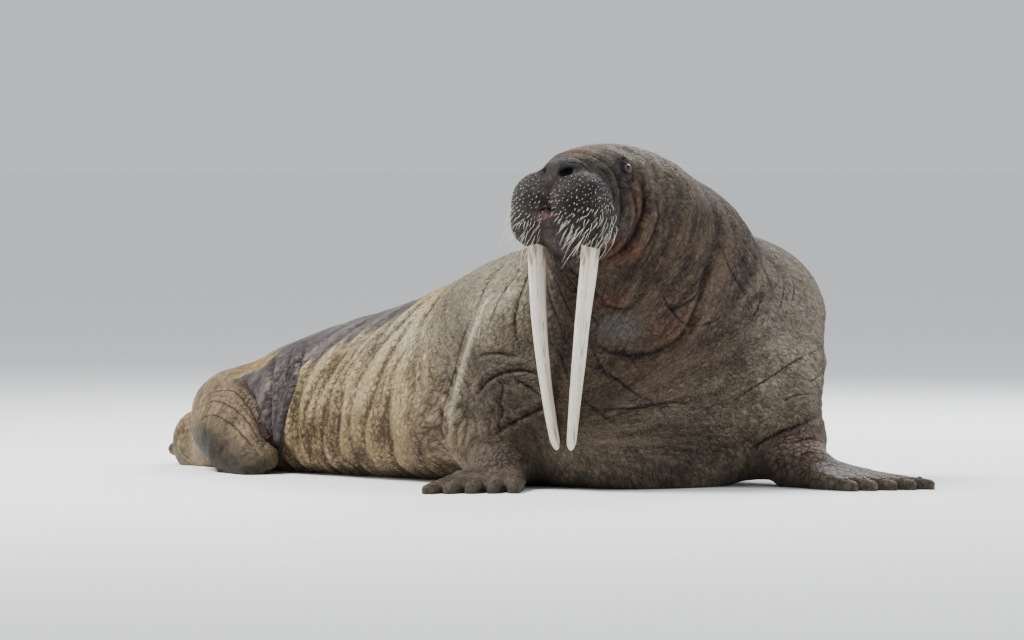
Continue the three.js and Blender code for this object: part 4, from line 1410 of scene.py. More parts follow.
class Animal:
    """The animal's parts and its whole form."""

    def __init__(self) -> None:
        """Places the parts."""
        self.trunk = Trunk()
        self.head = Head()
        self.spine = Spine()
        self.arms = (
            Forelimb(-1, -62, (Joint((.506, -.193, .27), .19), Joint((.574, -.35, .13), .11),
                                 Joint((.671, -.45, .058), .06))),
            Forelimb(1, 4, (Joint((.938, .252, .25), .2), Joint((1.086, .2, .13), .11),
                              Joint((1.198, .17, .058), .06))),
        )
        self.legs = (HindLimb(-1, self.trunk), HindLimb(1, self.trunk))
        self.form = self._form()

    def _form(self) -> Form:
        """Blends everything in one.

        Returns:
            The whole form.
        """
        body = self.trunk.form()
        for arm in self.arms:
            body = body.blend(chain(arm.joints, .04), .08)
        for leg in self.legs:
            body = body.blend(leg.ankle(), .06)
        body = self.head.join(body)
        for arm in self.arms:
            body = body.blend(arm.hand(), .03)
        for leg in self.legs:
            body = body.blend(leg.foot(), .012)
        return body.blend(taper(*self.trunk.tail), .03)

    def mirrored(self, points: Array, twin: Twin) -> Array:
        """Mirrors points to the animal's other side.

        Args:
            points: The points.
            twin: The part whose middle is the mirror.

        Returns:
            Their mirror images.
        """
        if twin is Twin.HEAD:
            own = self.head.own(points) * np.array([1, -1, 1])
            return np.asarray(self.head.at) + own @ self.head.axes
        x, y, z = points.T
        return np.column_stack([x, 2 * self.trunk.middle(x) - y, z])

    def site(self, at: Point, side: int) -> "Site":
        """A place on the head's skin, near a point given as forward, left, up."""
        skin = self.form.settle(self.head.place(at[0], at[1] * side, at[2])[None], 4)
        out = unit(self.form.slope(skin))[0]
        left = unit(np.cross([0, 0, 1], out))
        return Site(skin[0], np.array([out, left, np.cross(out, left)]))


@dataclass(frozen=True)
class Site:
    """A place on the skin with its axes: out of the skin, level along it, and up along it."""

    skin: Array
    axes: Array


@dataclass(frozen=True)
class Lids:
    """The opening of an eye with its lids and the folds round them."""

    at: Point = (.004, .117, .008)
    half_length: float = .0168
    half_height: float = .0118
    eyeball: float = .019
    sunk: float = .012
    inside: float = -.003
    rim: float = .0016
    fold: float = .0016
    reach: float = 2.9

    def heart(self, site: Site) -> Array:
        """Middle of the eyeball."""
        return site.skin - site.axes[0] * self.sunk

    def shape(self, points: Array, site: Site) -> tuple[Array, Array]:
        """Draws the skin round one eye onto the ball and folds it.

        Args:
            points: The skin's points.
            site: The eye's place.

        Returns:
            The new points, and how dark each lies between the lids.
        """
        off = points - self.heart(site)
        radius = np.linalg.norm(off, axis=1)
        near = radius < .06
        out, level, up = (off[near] @ site.axes.T).T
        droop = up + .1 * level
        share = np.hypot(level / self.half_length, droop / self.half_height)
        lid = self.eyeball + np.where(share < 1, self.inside, self.rim)
        lid = lid + np.where(droop > 0, .0008, 0) * ramp(share, .95, 1.05)
        rings = ramp(share, 1.1, 1.3) * (1 - ramp(share, 1.6, self.reach))
        rings = self.fold * np.cos((share - 1.18) * 7.5) * rings
        hold = 1 - ramp(share, 1.3, self.reach)
        target = radius[near] * (1 - hold) + lid * hold + rings
        moved = points.copy()
        moved[near] = self.heart(site) + unit(off[near]) * target[:, None]
        dark = np.zeros(len(points))
        dark[near] = 1 - ramp(np.abs(share - 1), .05, .35)
        return moved, dark


@dataclass(frozen=True)
class EarHole:
    """A small ear opening with a raised rim."""

    at: Point = (-.128, .136, -.03)
    radius: float = .01
    rim: float = .003
    pit: float = .009

    def height(self, points: Array, site: Site) -> Array:
        """How far each point is raised, or sunk where it is below zero."""
        gap = np.linalg.norm(points - site.skin, axis=1) / self.radius
        return self.rim * np.exp(-((gap - 1.15) / .35) ** 2) - self.pit * np.exp(-((gap / .55) ** 2))


# Folds, creases and colours of the skin


@dataclass(frozen=True)
class Hide:
    """How one region of the skin is folded, lined and coloured.

    The folds follow the straightened animal. The fine relief is given as the shares of lines, cells and hair.
    """

    depth: float
    along: float
    around: float
    slant: float
    octaves: int
    contrast: float
    fine: Point
    tones: Tones
    wander: float = .35

    def height(self, noise: Noise, straight: Array) -> Array:
        """Shapes the folds.

        Args:
            noise: Source of their shape.
            straight: Points of the straightened animal.

        Returns:
            Height of each point, from 0 in a valley up to about 1.
        """
        along, left, up = straight.T
        drift = noise.waves(straight / (2.2 * self.along) + 5) * self.wander
        places = np.column_stack([along / self.along + drift, left / self.around, up / self.around])
        return np.clip(noise.billows(places, self.octaves), 0, 1)


TAN: Tones = ((.07, .045, .021), (.42, .335, .19))
# Pale tones laid on ridges as a painted highlight.
RIDGE_HIGHLIGHT_TONES: Tones = ((.16, .13, .085), (.52, .47, .36))
LIP_TONES: Tones = ((.06, .028, .026), (.21, .125, .11))
# Darker tones towards the floor.
LOW_TONES: Tones = ((.04, .03, .02), (.15, .118, .08))


class Region(Enum):
    """Regions of the skin, later ones laid over earlier ones."""

    FLANK = Hide(.01, .052, .3, .6, 2, 1.15, (.7, .85, .8), TAN)
    HIPS = Hide(.006, .09, .42, .3, 1, .8, (.3, .35, .2), TAN)
    CHEST = Hide(.0045, .05, .2, -.8, 2, .45, (.5, .55, 1), ((.022, .015, .01), (.215, .166, .116)))
    NECK = Hide(.007, .055, .33, .1, 2, .75, (1.1, .5, .8), ((.014, .008, .005), (.112, .076, .05)))
    HEAD = Hide(.0018, .024, .09, 0, 2, .7, (.7, .55, .6), ((.018, .013, .009), (.12, .094, .068)))
    CHIN = Hide(.0014, .02, .06, 0, 2, .4, (.3, .6, .3), ((.006, .005, .005), (.052, .045, .04)))
    MUZZLE = Hide(.001, .016, .016, 0, 2, .5, (.1, .7, .1), ((.001, .001, .001), (.011, .01, .01)))
    FORE_FLIPPER = Hide(
        .0024, .024, .06, 0, 2, .6, (.4, .8, .2), ((.022, .014, .01), (.14, .102, .074)))
    HIND_FLIPPER = Hide(
        .0012, .03, .11, 0, 2, .3, (.5, .25, .2), ((.045, .029, .015), (.29, .215, .125)))
    SOLE = Hide(.0012, .018, .03, 0, 2, .3, (.1, .5, 0), ((.01, .008, .007), (.045, .036, .03)))


# The middle of the lower lip as a pixel
LIP: Pixel = (546, 216)

# The bare slate-grey back: its rear edge as pixels down and across, and its lower border across and down
SLATE_EDGE: tuple[Pixel, ...] = (
    (345, 282), (351, 279), (357, 272), (366, 267), (372, 254), (378, 239), (387, 243), (399, 252),
    (415, 259), (431, 263), (450, 275), (466, 288),
)
SLATE_BORDER: tuple[Pixel, ...] = (
    (262, 470), (283, 455), (289, 419), (296, 388), (303, 369), (321, 356), (340, 347), (358, 338),
    (381, 325), (396, 314), (420, 302), (450, 290),
)


class Marker:
    """Finds places on the skin from pixels of the photograph."""

    def __init__(self, mesh: Mesh, view: Viewpoint, animal: Animal) -> None:
        """Prepares the skin for rays."""
        self.tree = rays_on(mesh, points_of(mesh))
        self.view = view
        self.animal = animal

    def place(self, pixel: Sequence[float]) -> Array | None:
        """The place seen at a pixel, if there is skin."""
        hit = self.tree.ray_cast(self.view.location, self.view.ray(tuple(pixel)))[0]
        return None if hit is None else np.array(hit)

    def twin(self, points: Array, twin: Twin) -> Array:
        """Mirror images of places, set on the skin."""
        return np.array([self.tree.find_nearest(Vector(p))[0] for p in self.animal.mirrored(points, twin)])

    def lines(self, crease: Crease, gap: float = .04) -> list[Array]:
        """Follows a crease on the skin.

        Args:
            crease: The crease.
            gap: How far the skin may jump back before the line is parted.

        Returns:
            The crease's lines, and their mirror images where it has a twin.
        """
        runs: list[list[Array]] = [[]]
        for pixel in smooth_path(crease.pixels, 6):
            hit = self.place(pixel)
            if hit is None or (runs[-1] and np.linalg.norm(hit - runs[-1][-1]) > gap):
                runs.append([])
            if hit is not None:
                runs[-1].append(hit)
        lines = [np.array(run) for run in runs if len(run) > 2]
        log.debug("%s: %d lines", crease.name, len(lines))
        if crease.twin is not Twin.NONE:
            lines += [self.twin(line, crease.twin) for line in lines]
        return lines


class Cracks:
    """The nearest crease to each point: its distance, below zero on its right, its strength and its width."""

    def __init__(self, count: int) -> None:
        """Starts with no crease near any of the points."""
        self.gap = np.ones(count)
        self.strength = np.zeros(count)
        self.width = np.full(count, .005)

    def add(self, points: Array, normals: Array, line: Array, crease: Crease) -> Array:
        """Adds one crease.

        Args:
            points: The skin's points.
            normals: The ways out of the skin.
            line: The crease's course on the skin.
            crease: Its sizes.

        Returns:
            How far the crease raises each point.
        """
        lift = np.zeros(len(points))
        reach = max(4.5 * crease.width, .03)
        near = np.flatnonzero(np.all((points > line.min(0) - reach) & (points < line.max(0) + reach), axis=1))
        if not len(near):
            return lift
        start, step = line[:-1], np.diff(line, axis=0)
        off = points[near][:, None] - start[None]
        share = np.clip((off * step).sum(2) / np.maximum((step * step).sum(1), 1e-12), 0, 1)
        away = off - share[..., None] * step
        best = np.linalg.norm(away, axis=2).argmin(axis=1)
        row = np.arange(len(near))
        away, place = away[row, best], (best + share[row, best]) / len(step)
        gap = np.linalg.norm(away, axis=1)
        fade = np.sin(np.pi * np.clip(place, .01, .99)) ** .6
        rims = np.exp(-(((gap - 2.1 * crease.width) / (1.1 * crease.width)) ** 2)) * fade
        lift[near] = rims * crease.roll - np.exp(-((gap / crease.width) ** 2)) * fade * crease.depth
        side = np.sign(np.einsum("ij,ij->i", np.cross(step[best], away), normals[near]))
        closer = gap < np.abs(self.gap[near])
        picked = near[closer]
        self.gap[picked] = (gap * np.where(side == 0, 1, side))[closer]
        power = np.clip(crease.depth / .01, -1, 1) * .55 + .45 * np.sign(crease.depth)
        self.strength[picked] = (power * fade * (1 - ramp(gap, .016, .028)))[closer]
        self.width[picked] = crease.width
        return lift


class Skin:
    """The hide: meshed from the animal's form, folded, creased and painted."""

    def __init__(self, animal: Animal, view: Viewpoint) -> None:
        """Meshes and shapes the skin.

        Args:
            animal: The animal.
            view: The photograph's view.
        """
        self.animal = animal
        self.view = view
        self.noise = Noise(SEED)
        self.lids = Lids()
        self.ear = EarHole()
        self.eyes = {side: animal.site(self.lids.at, side) for side in (-1, 1)}
        self.mesh = self._meshed()
        self.points = points_of(self.mesh)
        self.normals = unit(animal.form.slope(self.points))
        self.straight, self.ahead = animal.spine.straighten(self.points)
        self.slanted = self.straight.copy()
        self.marker = Marker(self.mesh, view, animal)
        self.weights = self._regions()
        self.bare = self._bare()
        self.cracks = Cracks(len(self.points))
        self.hollow = np.zeros(len(self.points))
        self._shape()

    def _meshed(self) -> Mesh:
        """Meshes the smooth skin, finest round the eyes.

        Returns:
            The mesh.
        """
        mesher = SkinMesher(self.animal.form)
        mesh = mesher.surface()
        mesher.relax(mesh)

        def within(at: Array, middle: Point, reach: Point) -> Array:
            """True inside an ellipsoid of the head."""
            return np.linalg.norm((self.animal.head.own(at) - middle) / reach, axis=1) < 1

        def by_eyes(at: Array, reach: float) -> Array:
            """True near an eye."""
            return self._off_eyes(at) < reach

        mesher.refine(mesh, lambda at: within(at, (.02, 0, -.09), (.2, .19, .19)))
        mesher.refine(mesh, lambda at: within(at, (.16, 0, -.075), (.085, .1, .12)) | by_eyes(at, .05))
        mesher.refine(mesh, lambda at: by_eyes(at, .028))
        mesher.relax(mesh, 2)
        mesher.close_floor(mesh)
        log.info("smooth skin: %d points, %d faces", len(mesh.vertices), len(mesh.polygons))
        return mesh

    def _off_eyes(self, points: Array) -> Array:
        """How far points lie from the nearer eye."""
        return np.min([np.linalg.norm(points - eye.skin, axis=1) for eye in self.eyes.values()], axis=0)

    def _regions(self) -> dict[Region, Array]:
        """Finds how much each point belongs to each region.

        Returns:
            The regions' weights.
        """
        x, _, z = self.points.T
        along = self.straight[:, 0]
        head = self.animal.head
        forms = (head.muzzle(), head.lower_jaw(), head.skull())
        pads, jaw, skull = (form.distance(self.points) for form in forms)
        hands = np.minimum(*(arm.hand().distance(self.points) for arm in self.animal.arms))
        feet = np.minimum(*(leg.foot().distance(self.points) for leg in self.animal.legs))
        hand = 1 - ramp(hands, .004, .07)
        foot = 1 - ramp(feet, .002, .03)
        facing_down = ramp(-self.normals[:, 2], .1, .6)
        return {
            Region.FLANK: np.ones(len(x)),
            Region.HIPS: 1 - ramp(x, -.5, -.34),
            Region.CHEST: ramp(along, 1.34, 1.62),
            Region.NECK: ramp(along, 1.84, 2.04),
            Region.HEAD: 1 - ramp(np.minimum(skull, np.minimum(jaw, pads)), .004, .05),
            Region.CHIN: (1 - ramp(jaw, .002, .02)) * ramp(head.own(self.points)[:, 0], .03, .09),
            Region.MUZZLE: 1 - ramp(pads, .0005, .012),
            Region.FORE_FLIPPER: hand,
            Region.HIND_FLIPPER: foot,
            Region.SOLE: np.maximum(hand, foot) * np.maximum(facing_down, 1 - ramp(z, .006, .03)),
        }

    def _shape(self) -> None:
        """Folds, creases and lids."""
        lift = self._folded()
        for crease in CREASES:
            for line in self.marker.lines(crease):
                lift += self.cracks.add(self.points, self.normals, line, crease)
        for side in (-1, 1):
            ear = self.ear.height(self.points, self.animal.site(self.ear.at, side))
            lift += ear
            # The ear pits count as hollow, which the hide's shader darkens as painted shade.
            self.hollow = np.maximum(self.hollow, np.clip(-ear / self.ear.pit, 0, 1))
        lift *= ramp(self._off_eyes(self.points), .015, .04) * (.25 + .75 * ramp(self.points[:, 2], 0, .03))
        points = self.points + self.normals * lift[:, None]
        for site in self.eyes.values():
            points, dark = self.lids.shape(points, site)
            self.hollow = np.maximum(self.hollow, dark)
        points[:, 2] = np.maximum(points[:, 2], 0)
        self.shaped = points
        self.mesh.vertices.foreach_set("co", points.ravel())
        self.mesh.update()
        self.rays = rays_on(self.mesh, points)

    def _folded(self) -> Array:
        """Works out the folds, and keeps their fine relief as fold and wrinkle.

        Returns:
            How far the folds raise each point.
        """
        slant, fold, lift = np.zeros((3, len(self.points)))
        wrinkle = np.zeros((len(self.points), 3))
        for region, weight in self.weights.items():
            slant = slant * (1 - weight) + region.value.slant * weight
        up = self.straight[:, 2]
        self.slanted[:, 0] -= slant * (up + 2 * np.maximum(up, 0) ** 2)
        for region, weight in self.weights.items():
            hide = region.value
            rise = hide.height(self.noise, self.slanted)
            fold = fold * (1 - weight) + (FOLD_MIDDLE + (rise - FOLD_MIDDLE) * hide.contrast) * weight
            lift = lift * (1 - weight) + (rise - .45) * hide.depth * weight
            wrinkle = wrinkle * (1 - weight[:, None]) + np.array(hide.fine) * weight[:, None]
        lift, fold = self._armpits(lift, fold)
        crosswise = ramp(np.abs(np.einsum("ij,ij->i", self.normals, self.ahead)), .45, .8)
        wrinkle[:, 0] *= 1 - .85 * crosswise
        self.fold = fold + (.45 - fold) * .6 * crosswise
        self.wrinkle = wrinkle
        return lift * (1 - .7 * crosswise) * (1 - .55 * self.bare)

    def _armpits(self, lift: Array, fold: Array) -> tuple[Array, Array]:
        """Lays rounded bulges of loose skin in the armpits and below the chest.

        Args:
            lift: How far each point is raised.
            fold: Height of the folds at each point.

        Returns:
            Both with the bulges.
        """
        x, y, z = self.points.T
        low = np.exp(-(((z - .2) / .17) ** 2))
        right = np.exp(-(((x - .55) / .2) ** 2)) * low * (y < 0)
        left = np.exp(-(((x - 1.02) / .2) ** 2)) * low * (y > 0)
        weight = np.clip(right + left, 0, 1) * (1 - self.weights[Region.HEAD]) * .9
        bulge = np.clip(self.noise.cells(self.straight / np.array([.075, .06, .055])) * 2.4, 0, 1) ** .55
        return lift * (1 - weight) + (bulge - .7) * .0085 * weight, fold * (1 - weight) + bulge * weight

    def _painted(self) -> Paint:
        """Lays the tones of regions, grime, patches, ridges and lip.

        Returns:
            The tones of each point.
        """
        paint = Paint(np.zeros_like(self.points), np.zeros_like(self.points))
        for region, weight in self.weights.items():
            paint.lay(weight, *region.value.tones)
        # Darker towards the floor, over the lowest 14 cm, except on the head.
        near_floor = 1 - ramp(self.points[:, 2], .02, .14)
        paint.lay(near_floor * .55 * (1 - self.weights[Region.HEAD]), *LOW_TONES)
        ragged = 1.35 * (1 + .35 * self.noise.waves(self.straight / .035, 3))
        view = np.array([self.view.right, (0, 0, 1), self.view.back])
        for patch in PATCHES:
            log.debug("patch: %s", patch.name)
            at = self.marker.place(patch.pixel)
            places = [at] if patch.twin is Twin.NONE else [at, self.marker.twin(at[None], patch.twin)[0]]
            for place in places:
                off = (self.points - place) @ view.T / (*patch.radii, 2 * max(patch.radii))
                near = np.clip(np.exp(-(off**2).sum(axis=1)) * ragged, 0, 1)
                paint.lay(near * patch.strength, patch.dark, patch.light)
        # Painted highlight: ridges get paler tones.
        on_ridge = np.exp(-((self.cracks.gap / (1.2 * self.cracks.width)) ** 2))
        paint.lay(np.clip(-self.cracks.strength, 0, 1) * on_ridge * .65, *RIDGE_HIGHLIGHT_TONES)
        gap = np.linalg.norm((self.points - self.marker.place(LIP)) / [.024, .024, .014], axis=1)
        paint.lay(np.exp(-(gap**2)), *LIP_TONES)
        return paint

    def _bare(self) -> Array:
        """Finds where the hips and the back are bare and slate grey.

        Returns:
            Shares from 0 to 1.
        """
        mirror = self.points.copy()
        left = self.points[:, 1] > self.animal.trunk.middle(self.points[:, 0])
        mirror[left] = self.animal.mirrored(self.points[left], Twin.TRUNK)
        across, down = self.view.pixels(mirror)
        edge = np.interp(across, *zip(*SLATE_BORDER))
        above = ramp(edge - down, -9, 9)
        rear = across - np.interp(down, *zip(*SLATE_EDGE))
        ends = ramp(rear, -4, 5) * (1 - ramp(across, 400, 450))
        return above * ends * (self.points[:, 0] < .5) * (1 - self.weights[Region.HIND_FLIPPER])

    def finish(self) -> Thing:
        """Paints the skin and makes it a finished piece.

        Returns:
            The object.
        """
        self.paint = self._painted()
        self.paint.keep(self.mesh)
        store(self.mesh, "relief", np.column_stack([self.fold, self.hollow, self.bare]))
        store(self.mesh, "crack", np.column_stack([self.cracks.gap, self.cracks.strength, self.cracks.width]))
        store(self.mesh, "straight", self.slanted)
        store(self.mesh, "wrinkle", self.wrinkle)
        self.mesh.materials.append(HideFinish().material())
        return finish_piece(self.mesh, "skin", FLESH)


# Eyes and tusks


@dataclass(frozen=True)
class Eyeball:
    """One eyeball, which looks a little forward."""

    radius: float = .019
    turn: float = .22
    rings: int = 48
    sides: int = 64

    def build(self, name: str, site: Site, lids: Lids, head: Head, material: Material) -> Thing:
        """Builds the eyeball behind its lids.

        Args:
            name: The piece's name, which is also the node's.
            site: The eye's place on the head.
            lids: Its lids.
            head: The head.
            material: The eye's material.

        Returns:
            The finished piece.
        """
        mesh = bpy.data.meshes.new(name)
        with edited(mesh) as bm:
            bmesh.ops.create_uvsphere(bm, u_segments=self.sides, v_segments=self.rings, radius=self.radius)
        gaze = unit(site.axes[0] + head.axes[0] * self.turn)
        own = points_of(mesh)
        ray = unit(own)
        angle = np.arccos(np.clip(ray @ gaze, -1, 1))
        bulge = 1 + .05 * (1 - ramp(angle, .3, .75))
        mesh.vertices.foreach_set("co", (own * bulge[:, None] + lids.heart(site)).ravel())
        store(mesh, "gaze", angle)
        store(mesh, "ray", ray)
        mesh.materials.append(material)
        return finish_piece(mesh, name, [name])


@dataclass(frozen=True)
class Tusk:
    """A long slim tusk, given by its course on the head and its oval section."""

    root_height: float = .742
    lip_height: float = .65
    tip_height: float = .108
    forward: float = .122
    bow: float = .015
    lip_spread: float = .085
    tip_spread: float = .023
    spread_power: float = 1.4
    half_width: float = .0215
    half_depth: float = .028
    tip_share: float = .5
    round_share: float = .06
    square: float = 2.35
    groove: float = .0014
    # angle round the tusk, and half width in radians
    grooves: tuple[Pixel, ...] = ((.35, .22), (2.5, .2), (4.4, .25))
    sides: int = 64
    rings: int = 200

    def centre(self, t: Array, side: int, head: Head) -> Array:
        """Follows the tusk's course.

        Args:
            t: Places along it, from -1 at the root by 0 at the lip to 1 at the tip.
            side: 1 for the left tusk, -1 for the right one.
            head: The head that carries it.

        Returns:
            Middles of the sections there.
        """
        drop = np.maximum(t, 0)
        height = self.lip_height + np.where(t < 0, -t * (self.root_height - self.lip_height),
                                            t * (self.tip_height - self.lip_height))
        spread = self.lip_spread - (self.lip_spread - self.tip_spread) * drop**self.spread_power
        forward = self.forward + self.bow * np.sin(np.pi * drop)
        own = np.column_stack([forward, side * spread, height - head.at[2]])
        return np.asarray(head.at) + own @ head.axes

    def share(self, t: Array) -> Array:
        """Size of the section at t against the section at the lip."""
        narrowing = 1 - (1 - self.tip_share) * np.maximum(t, 0)
        left = np.clip((1 - t) / self.round_share, 0, 1)
        return narrowing * np.sqrt(np.maximum(1 - (1 - left) ** 2, 0))

    def build(self, name: str, side: int, head: Head, noise: Noise, material: Material) -> Thing:
        """Builds one tusk.

        Args:
            name: The piece's name, which is also the node's.
            side: 1 for the left tusk, -1 for the right one.
            head: The head that carries it.
            noise: Source of its unevenness.
            material: The ivory.

        Returns:
            The finished piece.
        """
        stops = np.concatenate([np.linspace(-1, 1 - self.round_share, self.rings),
                                1 - self.round_share * np.linspace(.9, 0, 14) ** 2])
        angle = np.linspace(0, 2 * np.pi, self.sides, endpoint=False)
        t, a = (grid.ravel() for grid in np.meshgrid(stops, angle, indexing="ij"))
        share = self.share(t)
        oval = np.column_stack([np.cos(a) * self.half_width * share, np.sin(a) * self.half_depth * share])
        place = np.column_stack([oval, (1 - t) * (self.lip_height - self.tip_height)])
        swell = noise.waves(place * [40, 40, 9] + side * 7, 2) * .0011
        for where, width in self.grooves:
            turn = np.abs((a - where - .25 * t * side + np.pi) % (2 * np.pi) - np.pi)
            swell -= self.groove * np.exp(-((turn / width) ** 2)) * share
        square = (np.abs(np.cos(a)) ** self.square + np.abs(np.sin(a)) ** self.square) ** (-1 / self.square)
        gain = square * (1 + swell / np.maximum(self.half_width * np.maximum(share, .15), 1e-4))
        points = self.centre(t, side, head) + (oval * gain[:, None]) @ head.axes[[1, 0]]
        ring = np.arange(self.sides)
        after = (ring + 1) % self.sides
        quad = np.stack([ring, after, after + self.sides, ring + self.sides], axis=1)
        faces = [face for row in range(len(stops) - 1) for face in (quad + row * self.sides).tolist()]
        mesh = bpy.data.meshes.new(name)
        mesh.from_pydata(points.tolist(), [], [*faces, ring[::-1].tolist()])
        store(mesh, "tusk", place)
        with edited(mesh) as bm:
            bmesh.ops.remove_doubles(bm, verts=bm.verts[:], dist=2e-5)
            bmesh.ops.recalc_face_normals(bm, faces=bm.faces[:])
        mesh.materials.append(material)
        return finish_piece(mesh, name, [name])


# Repeated pieces, made with geometry nodes


class Recipe(Tree):
    """A tree of geometry nodes with named inputs, run on a mesh of roots."""

    FAMILY = "GeometryNode"
    SOCKETS = {int: "NodeSocketInt", float: "NodeSocketFloat", Material: "NodeSocketMaterial"}

    def __init__(self, name: str, inputs: dict[str, type]) -> None:
        """Starts the tree.

        Args:
            name: The tree's name.
            inputs: Its named inputs with their types.
        """
        super().__init__(bpy.data.node_groups.new(name, "GeometryNodeTree"))
        side = self.tree.interface
        side.new_socket("Roots", in_out="INPUT", socket_type="NodeSocketGeometry")
        for label, kind in inputs.items():
            side.new_socket(label, in_out="INPUT", socket_type=self.SOCKETS[kind])
        side.new_socket("Geometry", in_out="OUTPUT", socket_type="NodeSocketGeometry")
        self.given = self.node("NodeGroupInput").outputs

    def named(self, name: str) -> Socket:
        """A vector attribute of the roots."""
        return self.made("InputNamedAttribute", {"data_type": "FLOAT_VECTOR"}, Name=name)

    def number(self, name: str) -> Signal:
        """A number attribute of the roots."""
        return Signal(self, self.made("InputNamedAttribute", {"data_type": "FLOAT"}, Name=name))

    def close(self, geometry: Socket) -> None:
        """Realizes everything, gives it the material and ends the tree."""
        real = self.made("RealizeInstances", Geometry=geometry)
        coated = self.made("SetMaterial", Geometry=real, Material=self.given["Material"])
        self.node("NodeGroupOutput", None, {0: coated})

    def run(self, roots: Mesh, values: dict[str, object]) -> Mesh:
        """The mesh that the tree makes on the roots.

        Args:
            roots: Mesh whose vertices are the roots.
            values: Value of each named input.

        Returns:
            The realized mesh.
        """
        holder = bpy.data.objects.new(roots.name, roots)
        bpy.context.scene.collection.objects.link(holder)
        modifier = holder.modifiers.new("recipe", "NODES")
        modifier.node_group = self.tree
        for item in self.tree.interface.items_tree:
            if item.in_out == "INPUT" and item.name in values:
                modifier[item.identifier] = values[item.name]
        result = bpy.data.meshes.new_from_object(holder.evaluated_get(bpy.context.evaluated_depsgraph_get()))
        holder.modifiers.remove(modifier)
        bpy.data.objects.remove(holder)
        return result


def quill_recipe() -> Recipe:
    """Bent tapered quills: bristles and claws.

    Each root has its place, lean, sag, length and thickness.

    Returns:
        The recipe.
    """
    r = Recipe("quills", {"Steps": int, "Sides": int, "Material": Material})
    line = r.made("ResampleCurve", Curve=r.made("CurvePrimitiveLine", End=(0, 0, 1)), Count=r.given["Steps"])
    lines = r.made("InstanceOnPoints", Points=r.given["Roots"], Instance=line)
    lines = r.made("RealizeInstances", Geometry=lines)
    share = Signal(r, r.made("SplineParameter"))
    reach = share * r.number("length")
    ahead = r.vector("SCALE", r.named("lean"), Scale=reach)
    aside = r.vector("SCALE", r.named("sag"), Scale=share * reach)
    place = r.vector("ADD", r.vector("ADD", r.named("root"), ahead), aside)
    radius = (1 - share.eased(.1, 1.15) * .88) * r.number("thick")
    section = r.made("CurvePrimitiveCircle", Resolution=r.given["Sides"], Radius=1)
    r.close(r.made("CurveToMesh", Curve=r.made("SetPosition", Geometry=lines, Position=place),
                   Profile_Curve=section, Scale=radius, Fill_Caps=True))
    return r


@dataclass(frozen=True)
class Quill:
    """A bristle or a claw: its root, the way it leans, how it sags, its length and its thickness."""

    root: Array
    lean: Array
    sag: Array
    length: float
    thick: float


def grow(name: str, quills: Sequence[Quill], sides: int, material: Material) -> Thing:
    """Makes quills a finished piece.

    Args:
        name: The piece's name.
        slot: The record's material slot.
        quills: The quills.
        sides: Sides of each quill.
        material: Their horn.

    Returns:
        The finished piece.
    """
    mesh = bpy.data.meshes.new(f"{name}_roots")
    mesh.from_pydata([tuple(quill.root) for quill in quills], [], [])
    for item in fields(Quill):
        store(mesh, item.name, np.array([getattr(quill, item.name) for quill in quills]))
    result = quill_recipe().run(mesh, {"Steps": 7, "Sides": sides, "Material": material})
    return finish_piece(result, name)


@dataclass(frozen=True)
class Bristles:
    """The bristles of both muzzle pads: stubs above, long and bent ones along the lower and outer edge."""

    heart: Point = (.112, .07, -.095)
    tries: int = 760
    short: float = .0065
    long: float = .04
    longest: float = 1.5
    bare_share: float = .48
    thick: float = .0008
    bend: Point = (.85, .1, -.75)

    def build(self, skin: "Skin", material: Material) -> Thing:
        """Grows the bristles on the finished skin.

        Args:
            skin: The skin.
            material: The horn.

        Returns:
            The finished piece.
        """
        rng = np.random.RandomState(SEED)
        tries = [self._quill(skin, side, i, rng) for side in (-1, 1) for i in range(self.tries)]
        return grow("bristles", [quill for quill in tries if quill], 5, material)

    def _quill(self, skin: "Skin", side: int, i: int, rng: np.random.RandomState) -> Quill | None:
        """Tries one bristle, on a spiral round the heart of its pad.

        Args:
            skin: The skin.
            side: 1 for the left pad, -1 for the right one.
            i: The try's number, from the top.
            rng: Source of chance.

        Returns:
            The bristle, if there is one.
        """
        head = skin.animal.head
        level = 1 - 2 * (i + .5) / self.tries
        round_it, turn = math.sqrt(1 - level * level), i * GOLDEN_ANGLE
        own = np.array([round_it * math.cos(turn), round_it * math.sin(turn), level])
        forward, out, up = unit(own + rng.normal(scale=.03, size=3))
        if forward < -.3 or out < -.72 or up > .86:
            return None
        ray = np.array([forward, out * side, up]) @ head.axes
        heart = head.place(self.heart[0], self.heart[1] * side, self.heart[2])
        hit, normal, _, _ = skin.rays.ray_cast(Vector(heart), Vector(ray))
        if hit is None or head.muzzle_pad(side).distance(np.array([hit]))[0] > .004:
            return None
        low = float(ramp(np.array(.16 - up + .4 * max(out, 0)), 0, 1.15))
        length = (self.short + (self.long - self.short) * low**1.3) * rng.uniform(.7, 1.15)
        chance = rng.random_sample()
        if low > .5 and chance < self.bare_share:
            return None
        if low > .7 and chance > .88:
            length *= self.longest
        normal = np.array(normal)
        bent = np.array([self.bend[0], self.bend[1] * side * out, self.bend[2]]) @ head.axes
        lean = normal + bent * .45 + rng.normal(scale=.1, size=3)
        sag = (bent - normal * .7) * (.45 + .6 * low) + rng.normal(scale=.15, size=3)
        thick = self.thick * rng.uniform(.75, 1.15) * (1.15 - .3 * low)
        return Quill(np.array(hit) - normal * .002, unit(lean), sag, length, thick)


